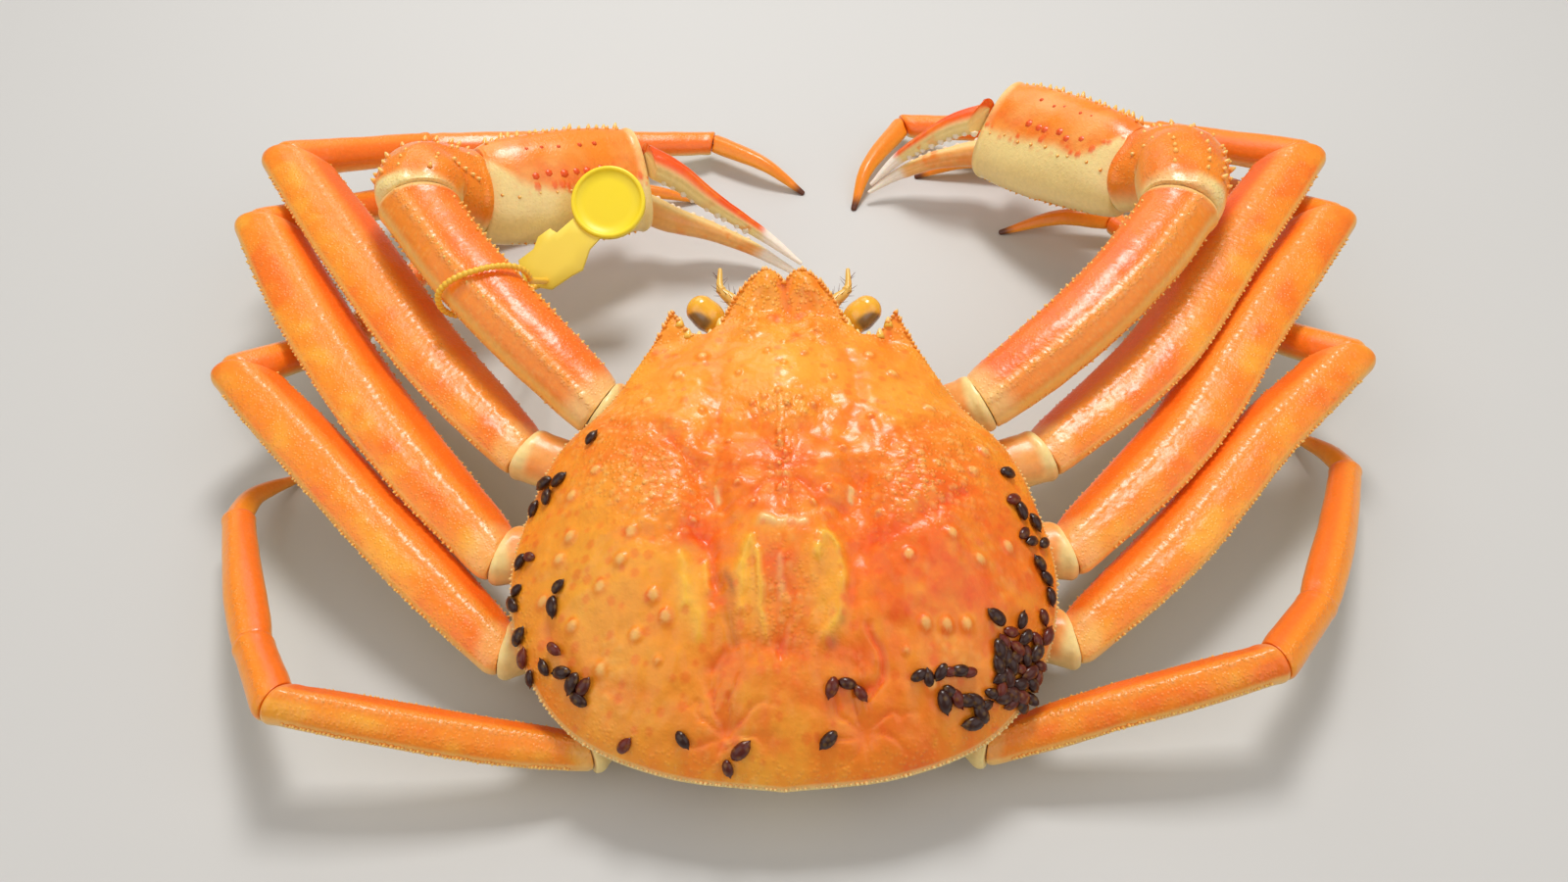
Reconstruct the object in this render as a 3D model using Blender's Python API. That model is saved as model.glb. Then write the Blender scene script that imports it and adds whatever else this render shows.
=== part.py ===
"""A snow crab, whole and still, at rest on the floor with its long legs folded forward beside its head.

Metres. +Y is towards the head, +X is the crab's right side, +Z is up. The origin is on the floor, on the
flat of the folded abdomen under the middle of the carapace. Each limb is a run of named segments. A segment
is a rounded section carried along a smooth centre line, with a domed end, trimmed at the plane of each joint
so that neighbours meet face to face. Spines, granules, tubercles and teeth are small closed cones, rooted in
the segment that they grow from and fused with it.
"""

import math

import bmesh
import bpy
import numpy as np

# Driving dimensions of the body
CARAPACE_WIDTH = 0.140
SKIN_GAP = 0.0003
FLOOR = 0.0
SEED = 7

# Margin of the carapace: half of the width, then heights along its length, as it lies tilted up in front
HALF_WIDTH = CARAPACE_WIDTH / 2
MARGIN_HEIGHT = 0.0343
MARGIN_SLOPE = 0.289
MARGIN_CURVE = 1.33
RIM_THICKNESS = 0.0020
RIM_INSET = 0.995
DOME_HEIGHT = 0.0250

# Right half of the outline: sharp corners of rostrum and orbit, then the round side to the rear midline
FRONT_CORNERS = (
    (0.0000, 0.0675),
    (0.0028, 0.0706),
    (0.0056, 0.0712),
    (0.0098, 0.0682),
    (0.0140, 0.0630),
    (0.0165, 0.0580),
    (0.0210, 0.0525),
    (0.0262, 0.0532),
    (0.0312, 0.0595),
)
SIDE_CURVE = (
    (0.0312, 0.0595),
    (0.0370, 0.0490),
    (0.0475, 0.0340),
    (0.0605, 0.0205),
    (0.0680, 0.0010),
    (HALF_WIDTH, -0.0150),
    (0.0650, -0.0345),
    (0.0510, -0.0525),
    (0.0280, -0.0622),
    (0.0000, -0.0656),
)
SIDE_POINTS = 17
DOME_RINGS = (1.0, 0.955, 0.88, 0.77, 0.63, 0.47, 0.30, 0.14)

# From this share of the way out, the rings of the dome take on the corners of the outline
CORNERS_FROM = 0.6

# Front edge of the dome itself, behind rostrum and orbits, where the shell slopes down gently
DOME_FRONT = ((0.0, 0.0600), (0.0165, 0.0570), (0.0262, 0.0532), (0.0370, 0.0490))
SIDE_FALL = (2.4, 0.8)
FRONT_FALL = (1.6, 1.1)
FRONT_FROM = 0.4
FRONT_SPAN = 0.5

# Swellings and grooves of the carapace: place, spread along x and y, height, each with its mirror image
SWELLINGS = (
    ((0.040, -0.014), (0.017, 0.024), 0.0040),
    ((0.000, 0.034), (0.012, 0.020), 0.0030),
    ((0.000, -0.020), (0.010, 0.012), 0.0030),
    ((0.024, 0.030), (0.010, 0.012), 0.0015),
    ((0.019, -0.006), (0.0045, 0.020), -0.0030),
    ((0.014, 0.012), (0.010, 0.004), -0.0020),
    ((0.017, -0.048), (0.006, 0.008), -0.0020),
)

# Tubercles of the right half as (x, y), and their sizes as (radius, height), largest first: the pearls of the
# branchial rows, the gastric and cardiac groups near the midline, the lobe over each orbit, then a scatter
# over the branchial region, none nearer to another than its space
PEARLS = (
    (0.0365, -0.0115), (0.0420, -0.0120), (0.0475, -0.0125), (0.0530, -0.0105), (0.0330, -0.0020),
    (0.0445, 0.0085), (0.0505, 0.0040), (0.0395, 0.0190), (0.0340, 0.0270), (0.0480, -0.0290),
)
GASTRIC = (
    (0.0000, 0.0440), (0.0035, 0.0405), (0.0000, 0.0340), (0.0000, 0.0270), (0.0075, 0.0400), (0.0120, 0.0370),
)
CARDIAC = ((0.0110, -0.0030), (0.0120, -0.0120), (0.0090, -0.0190), (0.0075, 0.0060))
ORBIT_LOBE = (0.0093, 0.0610)
PEARL_SIZE = (0.0016, 0.0011)
GASTRIC_SIZE = (0.0012, 0.0009)
LOBE_SIZE = (0.0030, 0.0016)
SCATTER_TRIES = 260
SCATTER_REACH = 0.90
SCATTER_SIZE = (0.0010, 0.0007)
SCATTER_BOX = ((0.024, 0.060), (-0.050, 0.038))
SCATTER_SPACE = 0.0075
SLOPE_STEP = 0.0005

# Granules along the margin of the right half
MARGIN_GRANULES = 34
MARGIN_GRANULE_SIZE = (0.0009, 0.0013)

# Underside: the flank runs in and down from the rim to the leg bases
FLANK_REACH = 0.66
FLANK_HEIGHT = 0.0260
FLANK_SLOPE = 0.230

# Breastplate: right half of its outline, whose walls carry the five limbs, and its rise to the mouth
STERNUM_HALF = (
    (0.0120, 0.0500),
    (0.0260, 0.0450),
    (0.0370, 0.0312),
    (0.0428, 0.0150),
    (0.0429, -0.0020),
    (0.0364, -0.0176),
    (0.0236, -0.0300),
    (0.0130, -0.0400),
)
FIRST_LIMB_WALL = 1
BELLY_CLEARANCE = 0.0045
BELLY_SHARE = 0.70
WALL_FOOT = 0.0030
MOUTH_START = 0.018
MOUTH_SLOPE = 0.72

# Front of the head under the rostrum: right half of its outline, in front of the breastplate
HEAD_HALF = (
    (0.0000, 0.0635),
    (0.0115, 0.0625),
    (0.0215, 0.0490),
    (0.0215, 0.0472),
    (0.0121, 0.0503),
    (0.0000, 0.0503),
)
HEAD_SINK = 0.0015

# Folded abdomen of a male: seven narrow rings, flat below, its root bent up under the rear margin
ABDOMEN_THICKNESS = 0.0040
ABDOMEN_STEPS = (
    (0.0180, 0.0030),
    (0.0125, 0.0048),
    (0.0055, 0.0062),
    (-0.0030, 0.0085),
    (-0.0125, 0.0112),
    (-0.0230, 0.0135),
    (-0.0390, 0.0135),
)
ABDOMEN_GROOVE = 0.0007
ABDOMEN_RING = ((0.0, 1), (0.14, 0), (0.86, 0), (1.0, 1))
ABDOMEN_SECTION = (
    (1.0, 0.2),
    (0.8, 0.9),
    (0.0, 1.0),
    (-0.8, 0.9),
    (-1.0, 0.2),
    (-0.9, -1.0),
    (0.0, -1.0),
    (0.9, -1.0),
)

# Root of the abdomen, bent up to the carapace: place, height, half width, lean of its section
ABDOMEN_ROOT = (
    (-0.0430, 0.0020, 0.0135, 0.0),
    (-0.0500, 0.0042, 0.0135, 0.5),
    (-0.0550, 0.0100, 0.0132, 1.1),
    (-0.0575, 0.0215, 0.0130, 1.35),
)

# Joints of the claw limbs, from the ischium outwards. "merus" and "carpus" are points on the centre line
# between two joints, "face" is the way that the broad side of the palm looks.
CLAW_RIGHT = {
    "base": (0.0556, 0.0428, 0.0370),
    "merus": ((0.0795, 0.0602, 0.0448), (0.1015, 0.0808, 0.0512)),
    "knee": (0.1195, 0.1040, 0.0560),
    "carpus": (0.1237, 0.1270, 0.0535),
    "wrist": (0.1133, 0.1370, 0.0430),
    "hinge": (0.0759, 0.1800, 0.0285),
    "face": (-0.50, -0.42, 0.74),
    "finger": (
        (0.0734, 0.1750, 0.0375),
        (0.0604, 0.1773, 0.0320),
        (0.0498, 0.1784, 0.0240),
        (0.0411, 0.1801, 0.0150),
        (0.0320, 0.1761, 0.0070),
    ),
    "fixed": (
        (0.0714, 0.1778, 0.0195),
        (0.0568, 0.1791, 0.0160),
        (0.0472, 0.1791, 0.0120),
        (0.0384, 0.1774, 0.0080),
        (0.0313, 0.1745, 0.0045),
    ),
}
CLAW_LEFT = {
    "base": (-0.0518, 0.0406, 0.0370),
    "merus": ((-0.0727, 0.0608, 0.0448), (-0.0935, 0.0824, 0.0512)),
    "knee": (-0.1109, 0.1057, 0.0560),
    "carpus": (-0.1097, 0.1190, 0.0535),
    "wrist": (-0.0981, 0.1259, 0.0430),
    "hinge": (-0.0494, 0.1513, 0.0290),
    "face": (0.36, -0.53, 0.76),
    "finger": (
        (-0.0474, 0.1493, 0.0390),
        (-0.0362, 0.1471, 0.0340),
        (-0.0262, 0.1439, 0.0270),
        (-0.0167, 0.1420, 0.0205),
        (-0.0061, 0.1395, 0.0135),
        (0.0057, 0.1322, 0.0080),
    ),
    "fixed": (
        (-0.0488, 0.1470, 0.0200),
        (-0.0384, 0.1444, 0.0170),
        (-0.0282, 0.1445, 0.0130),
        (-0.0191, 0.1428, 0.0100),
        (-0.0085, 0.1391, 0.0070),
        (0.0067, 0.1294, 0.0040),
    ),
}

# Joints of the walking legs, front pair first
LEGS_RIGHT = (
    {
        "base": (0.0735, 0.0328, 0.0260),
        "merus": ((0.1095, 0.0643, 0.0341), (0.1381, 0.1038, 0.0409)),
        "knee": (0.1665, 0.1414, 0.0460),
        "carpus": (0.1327, 0.1810, 0.0250),
        "ankle": (0.0454, 0.2099, 0.0080),
        "bend": (0.0313, 0.1862, 0.0070),
        "tip": (0.0256, 0.1700, 0.0005),
    },
    {
        "base": (0.0770, 0.0028, 0.0210),
        "merus": ((0.1125, 0.0374, 0.0288), (0.1419, 0.0789, 0.0352)),
        "knee": (0.1720, 0.1178, 0.0400),
        "carpus": (0.1487, 0.1610, 0.0180),
        "ankle": (0.0878, 0.1891, 0.0070),
        "bend": (0.0679, 0.1904, 0.0060),
        "tip": (0.0499, 0.1886, 0.0005),
    },
    {
        "base": (0.0760, -0.0215, 0.0150),
        "merus": ((0.1069, 0.0051, 0.0228), (0.1352, 0.0362, 0.0292)),
        "knee": (0.1655, 0.0635, 0.0340),
        "carpus": (0.1440, 0.0911, 0.0200),
        "ankle": (0.1166, 0.1546, 0.0080),
        "bend": (0.0980, 0.1574, 0.0070),
        "tip": (0.0782, 0.1569, 0.0005),
    },
    {
        "base": (0.0515, -0.0495, 0.0110),
        "merus": ((0.0750, -0.0443, 0.0175), (0.0985, -0.0400, 0.0235)),
        "knee": (0.1221, -0.0350, 0.0280),
        "carpus": (0.1391, -0.0155, 0.0240),
        "propodus": (0.1530, 0.0111, 0.0190),
        "ankle": (0.1650, 0.0379, 0.0130),
        "bend": (0.1629, 0.0481, 0.0090),
        "tip": (0.1568, 0.0630, 0.0005),
    },
)
LEGS_LEFT = (
    {
        "base": (-0.0735, 0.0330, 0.0260),
        "merus": ((-0.1045, 0.0655, 0.0341), (-0.1330, 0.1035, 0.0409)),
        "knee": (-0.1600, 0.1404, 0.0460),
        "carpus": (-0.1252, 0.1743, 0.0250),
        "ankle": (-0.0266, 0.1990, 0.0080),
        "bend": (-0.0073, 0.1874, 0.0070),
        "tip": (0.0069, 0.1789, 0.0005),
    },
    {
        "base": (-0.0770, 0.0010, 0.0210),
        "merus": ((-0.1090, 0.0358, 0.0288), (-0.1384, 0.0745, 0.0352)),
        "knee": (-0.1637, 0.1146, 0.0400),
        "carpus": (-0.1366, 0.1530, 0.0180),
        "ankle": (-0.0715, 0.1721, 0.0070),
        "bend": (-0.0502, 0.1733, 0.0060),
        "tip": (-0.0308, 0.1744, 0.0005),
    },
    {
        "base": (-0.0733, -0.0248, 0.0150),
        "merus": ((-0.1019, 0.0015, 0.0228), (-0.1304, 0.0297, 0.0292)),
        "knee": (-0.1582, 0.0570, 0.0340),
        "carpus": (-0.1364, 0.0846, 0.0200),
        "ankle": (-0.1136, 0.1468, 0.0080),
        "bend": (-0.0976, 0.1542, 0.0070),
        "tip": (-0.0794, 0.1554, 0.0005),
    },
    {
        "base": (-0.0490, -0.0510, 0.0110),
        "merus": ((-0.0740, -0.0508, 0.0175), (-0.0985, -0.0490, 0.0235)),
        "knee": (-0.1235, -0.0463, 0.0280),
        "carpus": (-0.1352, -0.0275, 0.0240),
        "propodus": (-0.1461, -0.0030, 0.0190),
        "ankle": (-0.1554, 0.0203, 0.0130),
        "bend": (-0.1544, 0.0314, 0.0090),
        "tip": (-0.1463, 0.0450, 0.0005),
    },
)

# Height of each limb's root on the wall of the breastplate, claw first
ROOT_HEIGHTS = (0.0258, 0.0215, 0.0180, 0.0145, 0.0112)

# Half widths and half thicknesses of the walking legs' segments, front pair first
LEG_SIZES = (
    {"merus": (0.0112, 0.0046), "carpus": (0.0064, 0.0048), "propodus": (0.0056, 0.0040)},
    {"merus": (0.0108, 0.0046), "carpus": (0.0062, 0.0048), "propodus": (0.0054, 0.0040)},
    {"merus": (0.0095, 0.0044), "carpus": (0.0058, 0.0045), "propodus": (0.0050, 0.0038)},
    {"merus": (0.0060, 0.0044), "carpus": (0.0052, 0.0045), "propodus": (0.0052, 0.0038)},
)
MERUS_PROFILE = (0.78, 0.95, 1.0, 1.0, 0.97, 0.85)
MERUS_THICKENING = (1.0, 1.0, 1.0, 1.05, 1.1)
CARPUS_PROFILE = (1.1, 1.0, 0.95)
PROPODUS_PROFILE = (1.0, 1.05, 0.95, 0.85)
DACTYL = (0.0040, 0.0030)
DACTYL_PROFILE = (1.0, 0.85, 0.6, 0.26)
LEG_FACE = (0.0, -0.15, 1.0)
MERUS_FACE = (-0.26, 0.06, 1.0)

# Spinules in a row along both edges of each merus of the walking legs
SPINULE_COUNT = 9
SPINULE_SIZE = (0.0008, 0.0012)

# All spines: how deep their roots sink and flare, how far they lean, how they vary, from which radius they
# have more sides, and from which height they narrow at a waist
SPINE_SINK = 0.0012
SPINE_FLARE = 1.1
SPINE_LEAN = 0.3
SPINE_SPAN = (0.10, 0.90)
SIZE_SPREAD = (0.8, 1.2)
STEP_SPREAD = (-0.2, 0.2)
SPINE_FINE = 0.0013
SPINE_SIDES = (4, 5)
SPINE_WAIST_FROM = 0.0015
SPINE_WAIST = (0.45, 0.6)

# A stretch of a limb that lies past its end, so that no spine falls in it
NOWHERE = (2.0, 2.0)

# Half width and half thickness of the limbs' bases, claw first, and how they swell along their length.
# Each starts inside the breastplate, so that the cut at the wall leaves no rounding, and leaves it straight.
BASE_SIZES = ((0.0085, 0.0078), (0.0078, 0.0062), (0.0078, 0.0062), (0.0074, 0.0060), (0.0062, 0.0052))
BASE_PROFILE = (1.0, 1.0, 0.98)
BASE_STAND_OFF = 0.001
BASE_START = 0.006
BASE_STRAIGHT = 0.004

# Every limb segment: power of its superelliptic section, steps of its domed ends, then how many frames and
# sides its mesh has and how far its domes reach, as a share of its half width
SECTION_ROUNDNESS = 2.3
DOME_STEPS = (0.5, 0.85)
FRAMES = {
    "base": 6,
    "merus": 8,
    "carpus": 4,
    "claw_carpus": 4,
    "propodus": 5,
    "dactyl": 6,
    "palm": 7,
    "finger": 8,
}
SIDES = {"merus": 10, "slim": 8, "dactyl": 6, "palm": 12, "finger": 8, "maxilliped": 8}
DOMES = {"leg": 0.75, "claw_carpus": 0.5, "palm": 0.3, "head": 0.9, "maxilliped": 0.4}
HEAD_FRAMES = 7
MAXILLIPED_FRAMES = 6

# Claw limbs: half widths and half thicknesses
CLAW_MERUS = (0.0110, 0.0078)
CLAW_CARPUS = (0.0140, 0.0115)
CLAW_MERUS_PROFILE = (0.82, 0.96, 1.0, 1.04)
CLAW_CARPUS_PROFILE = (0.88, 1.0, 1.0, 0.95)
PALM_HALF_HEIGHTS = (0.0155, 0.0175, 0.0185, 0.0185, 0.0170)
PALM_HALF_THICKNESSES = (0.0090, 0.0105, 0.0108, 0.0098, 0.0082)
FINGER_HALF_HEIGHTS = (0.0058, 0.0046, 0.0036, 0.0028, 0.0020, 0.0007)
FINGER_HALF_THICKNESSES = (0.0048, 0.0042, 0.0034, 0.0026, 0.0018, 0.0007)
FIXED_HALF_HEIGHTS = (0.0064, 0.0050, 0.0037, 0.0028, 0.0019, 0.0007)
FIXED_HALF_THICKNESSES = (0.0050, 0.0042, 0.0034, 0.0026, 0.0018, 0.0007)
FINGER_ROOT_SINK = 0.006

# Claw limbs: rows of spines as (section angle in degrees from the upper edge, count, radius, height)
MERUS_SPINE_ROWS = ((0, 9, 0.0010, 0.0019), (180, 8, 0.0009, 0.0013), (70, 8, 0.0009, 0.0009))
CARPUS_SPINE_ROWS = ((35, 4, 0.0010, 0.0016), (75, 3, 0.0010, 0.0012))
CARPUS_SPINE_SPAN = (0.30, 0.70)
PALM_SPINE_ROWS = (
    (0, 10, 0.0011, 0.0021),
    (38, 8, 0.0009, 0.0009),
    (78, 6, 0.0010, 0.0009),
    (180, 8, 0.0008, 0.0009),
)
FINGER_TEETH = 5
FINGER_TOOTH_SIZE = (0.0011, 0.0010)
FINGER_TOOTH_SPAN = (0.30, 0.56)

# Head: eye on its stalk, antenna, outer mouthparts, each rooted in a named point of the head's front
EYE_STALK = (
    (0.0130, 0.0530, 0.0465),
    (0.0172, 0.0575, 0.0480),
    (0.0200, 0.0612, 0.0505),
    (0.0236, 0.0636, 0.0530),
)
EYE_RADII = (0.0027, 0.0025, 0.0030, 0.0043, 0.0042)
ANTENNA = (
    (0.0078, 0.0600, 0.0470),
    (0.0095, 0.0660, 0.0475),
    (0.0150, 0.0715, 0.0490),
    (0.0183, 0.0745, 0.0505),
    (0.0186, 0.0805, 0.0525),
)
ANTENNA_RADII = (0.0026, 0.0025, 0.0021, 0.0012, 0.0006)
MAXILLIPED_LENGTH = (0.0350, 0.0600)
MAXILLIPED_MIDDLE = 0.0064
MAXILLIPED_HALF_WIDTHS = (0.0040, 0.0056, 0.0058, 0.0050, 0.0036)
MAXILLIPED_HALF_THICKNESS = 0.0030
MAXILLIPED_STAND_OFF = 0.0012
EYE_SIDES = 10
ANTENNA_SIDES = 6
UPWARDS = (0.0, 0.0, 1.0)

# Tag on the left claw: a disc with a raised rim on a notched plate, tied by a beaded band round the merus.
# The plate's outline is measured along its axis from the disc's centre, and across it.
TAG_DISC_CENTRE = (-0.0559, 0.1236, 0.0413)
TAG_DISC_RADIUS = 0.0118
TAG_DISC_POINTS = 28
TAG_RIM = (0.0014, 0.0007)
TAG_FACE = (0.0, -0.55, 0.83)
TAG_AXIS = (-0.62, -0.65, -0.43)
TAG_THICKNESS = 0.0020
TAG_PLATE_STEP = 0.0002
TAG_SIDE = -1
TAG_PLATE = (
    (0.0100, -0.0053),
    (0.0154, -0.0050),
    (0.0220, -0.0075),
    (0.0255, -0.0060),
    (0.0330, -0.0038),
    (0.0372, 0.0038),
    (0.0324, 0.0104),
    (0.0265, 0.0090),
    (0.0226, 0.0104),
    (0.0181, 0.0092),
    (0.0178, 0.0066),
    (0.0100, 0.0053),
)
BAND_SHARE = 0.56
BAND_RADIUS = 0.0010
BAND_BEAD = 0.00018
BAND_SLANT = (-0.35, 0.90, 0.10)
BAND_CLEARANCE = 0.0006
BAND_HOLD = 0.0335
BAND_BARE = 0.06
BAND_WRAP = (-55, 183)
BAND_WRAP_POINTS = 17
BAND_RUN = (0.14, 0.28, 0.42, 0.56, 0.70, 0.85)
BAND_TURN = 0.0018
BAND_SIDES = 6

SHELL = {"carapace": (0.93, 0.32, 0.05), "limb": (0.95, 0.25, 0.03), "pale": (0.90, 0.66, 0.35)}
FINGER_COLOUR = (0.93, 0.30, 0.05)
EYE_COLOUR = (0.60, 0.33, 0.08)
TAG_COLOUR = (0.95, 0.80, 0.05)
ROUGHNESS = {"shell": 0.35, "wet": 0.3, "plastic": 0.4}
SMOOTH_UNDER = 35

RNG = np.random.default_rng(SEED)


def vector(values):
    return np.array(values, dtype=float)


def unit(values):
    values = vector(values)
    return values / np.linalg.norm(values)


def smooth_curve(points, count):
    """Points at even steps of the knots' chord length on the Catmull-Rom curve through them."""
    knots = np.array(points, dtype=float)
    steps = np.concatenate([[0], np.cumsum(np.linalg.norm(np.diff(knots, axis=0), axis=1))])
    padded = np.vstack([2 * knots[0] - knots[1], knots, 2 * knots[-1] - knots[-2]])
    found = []
    for at in np.linspace(0, steps[-1], count):
        piece = min(np.searchsorted(steps, at, side="right") - 1, len(knots) - 2)
        t = (at - steps[piece]) / (steps[piece + 1] - steps[piece])
        a, b, c, d = padded[piece : piece + 4]
        found.append(
            0.5 * (2 * b + (c - a) * t + (2 * a - 5 * b + 4 * c - d) * t**2 + (3 * b - a - 3 * c + d) * t**3)
        )
    return np.array(found)


def shell_material(name, colour, roughness):
    material = bpy.data.materials.new(name)
    material.use_nodes = True
    shader = material.node_tree.nodes["Principled BSDF"]
    shader.inputs["Base Color"].default_value = (*colour, 1.0)
    shader.inputs["Roughness"].default_value = roughness
    shader.inputs["Metallic"].default_value = 0.0
    return material


def closed_object(name, bm):
    """A mesh object with its faces turned outwards."""
    bmesh.ops.recalc_face_normals(bm, faces=bm.faces)
    mesh = bpy.data.meshes.new(name)
    bm.to_mesh(mesh)
    bm.free()
    solid = bpy.data.objects.new(name, mesh)
    bpy.context.scene.collection.objects.link(solid)
    return solid


def add_node(name, bm, colour, roughness=ROUGHNESS["shell"], grown=()):
    """A closed object with its own material, fused with what grows from it."""
    node = closed_object(name, bm)
    node.data.materials.append(shell_material(name, colour, roughness))
    if grown:
        fuse(node, grown)
    node.data.shade_smooth()
    node.data.set_sharp_from_angle(angle=math.radians(SMOOTH_UNDER))
    return node


def bridge(bm, rings, first_pole=None, last_pole=None):
    """Closed skin over rings of equal count, ended by a pole or by a flat face."""
    loops = [[bm.verts.new(point) for point in ring] for ring in rings]
    count = len(loops[0])
    for near, far in zip(loops, loops[1:]):
        for i in range(count):
            j = (i + 1) % count
            bm.faces.new((near[i], near[j], far[j], far[i]))
    for loop, pole in ((loops[0], first_pole), (loops[-1], last_pole)):
        if pole is None:
            bm.faces.new(loop)
            continue
        top = bm.verts.new(pole)
        for i in range(count):
            bm.faces.new((loop[i], loop[(i + 1) % count], top))


def trim(bm, point, normal):
    """Cuts off what lies beyond the plane and closes the cut with a flat face."""
    result = bmesh.ops.bisect_plane(
        bm,
        geom=bm.verts[:] + bm.edges[:] + bm.faces[:],
        dist=1e-7,
        plane_co=point,
        plane_no=normal,
        clear_outer=True,
    )
    edges = [item for item in result["geom_cut"] if isinstance(item, bmesh.types.BMEdge)]
    if edges:
        bmesh.ops.edgeloop_fill(bm, edges=edges)


def round_section(turn):
    """Point of the unit superellipse that all shell segments share, as (across, up)."""
    across, up = math.cos(turn), math.sin(turn)
    power = 2 / SECTION_ROUNDNESS
    return math.copysign(abs(across) ** power, across), math.copysign(abs(up) ** power, up)


def stations(path, half_widths, half_thicknesses, face, side, count):
    """A limb segment as frames along its smooth centre line: its edge and face directions and half sizes.

    The edge direction is the outer edge of a leg and the upper edge of a palm, on both sides of the crab.
    """
    centres = smooth_curve(path, count)
    tangents = np.gradient(centres, axis=0)
    tangents /= np.linalg.norm(tangents, axis=1)[:, None]
    edges = np.cross(tangents, vector(face)) * side
    edges /= np.linalg.norm(edges, axis=1)[:, None]
    faces = np.cross(edges, tangents) * side
    spread = np.linspace(0, 1, count)
    widths = np.interp(spread, np.linspace(0, 1, len(half_widths)), half_widths)
    heights = np.interp(spread, np.linspace(0, 1, len(half_thicknesses)), half_thicknesses)
    return centres, tangents, edges, faces, widths, heights


def frame_at(limb, share):
    """The frame at a share of the limb's length."""
    at = share * (len(limb[0]) - 1)
    low = min(int(at), len(limb[0]) - 2)
    return [rows[low] + (rows[low + 1] - rows[low]) * (at - low) for rows in limb]


def surface_at(limb, share, turn):
    """A point on the limb's smooth skin, the outward direction there and the centre line's direction."""
    centre, tangent, edge, face, width, height = frame_at(limb, share)
    x, y = round_section(math.radians(turn))
    point = centre + edge * width * x + face * height * y
    return point, unit(edge * x / width + face * y / height), tangent


def segment_mesh(limb, sides=SIDES["merus"], dome=DOMES["leg"]):
    """The section carried along the limb's frames, with domed ends."""
    frames = list(zip(*limb))
    shape = np.array([round_section(turn) for turn in np.arange(sides) * 2 * math.pi / sides])
    rings = [(centre, edge, face, width, height) for centre, _, edge, face, width, height in frames]
    poles = []
    for place, (centre, tangent, edge, face, width, height) in ((0, frames[0]), (len(rings), frames[-1])):
        outward = tangent if place else -tangent
        reach = width * dome
        poles.append(centre + outward * reach)
        for share in DOME_STEPS:
            scale = math.sqrt(1 - share**2)
            ring = (centre + outward * reach * share, edge, face, width * scale, height * scale)
            rings.insert(len(rings) if place else 0, ring)
    loops = []
    for centre, edge, face, width, height in rings:
        loops.append(centre + np.outer(shape[:, 0] * width, edge) + np.outer(shape[:, 1] * height, face))
    bm = bmesh.new()
    bridge(bm, loops, first_pole=poles[0], last_pole=poles[1])
    bmesh.ops.recalc_face_normals(bm, faces=bm.faces)
    return bm


def joint_plane(before, joint, after):
    """A point and normal of the plane that halves the bend between two segments."""
    joint = vector(joint)
    return joint, unit(unit(joint - vector(before)) + unit(vector(after) - joint))


def trim_to_joints(bm, start=None, end=None):
    """Trims a segment at its joint planes, each set back by half of the gap."""
    if start is not None:
        point, normal = start
        trim(bm, point + normal * SKIN_GAP / 2, -normal)
    if end is not None:
        point, normal = end
        trim(bm, point - normal * SKIN_GAP / 2, normal)


def spine(point, outward, radius, height):
    """A closed cone with its root sunk below the skin; a tall one narrows at its waist."""
    outward = unit(outward)
    side = unit(np.cross(outward, (0.3, 0.5, 0.8)))
    other = np.cross(outward, side)
    count = SPINE_SIDES[radius > SPINE_FINE]
    rings = [(-SPINE_SINK, radius * SPINE_FLARE)]
    if height > SPINE_WAIST_FROM:
        rings.append((height * SPINE_WAIST[0], radius * SPINE_WAIST[1]))
    loops = []
    for rise, reach in rings:
        turns = np.arange(count) * 2 * math.pi / count
        ring = np.outer(np.cos(turns), side) + np.outer(np.sin(turns), other)
        loops.append(point + outward * rise + ring * reach)
    bm = bmesh.new()
    bridge(bm, loops, last_pole=point + outward * height)
    return closed_object("spine", bm)


def spine_row(limb, turn, count, radius, height, span, lean=SPINE_LEAN, bare=NOWHERE):
    """Spines at nearly even steps along one line of a limb, none in the bare stretch."""
    step = (span[1] - span[0]) / count
    found = []
    for share in np.linspace(*span, count):
        share += RNG.uniform(*STEP_SPREAD) * step
        size = RNG.uniform(*SIZE_SPREAD)
        if not bare[0] < share < bare[1]:
            point, outward, tangent = surface_at(limb, share, turn)
            found.append(spine(point, outward + tangent * lean, radius, height * size))
    return found


def spine_rows(limb, rows, span=SPINE_SPAN, bare=NOWHERE):
    return [item for row in rows for item in spine_row(limb, *row, span, bare=bare)]


def fuse(node, pieces):
    """Unites closed pieces with a node's own solid and keeps the largest closed surface."""
    helpers = bpy.data.collections.new("pieces_to_fuse")
    for piece in pieces:
        for owner in list(piece.users_collection):
            owner.objects.unlink(piece)
        helpers.objects.link(piece)
    bpy.context.scene.collection.children.link(helpers)
    union = node.modifiers.new("union", "BOOLEAN")
    union.operation = "UNION"
    union.operand_type = "COLLECTION"
    union.collection = helpers
    union.solver = "EXACT"
    graph = bpy.context.evaluated_depsgraph_get()
    fused = bpy.data.meshes.new_from_object(node.evaluated_get(graph))
    node.modifiers.remove(union)
    material = node.data.materials[0]
    node.data = fused
    node.data.materials.clear()
    node.data.materials.append(material)
    for piece in pieces:
        bpy.data.objects.remove(piece)
    bpy.data.collections.remove(helpers)
    keep_largest(node.data)


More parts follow.
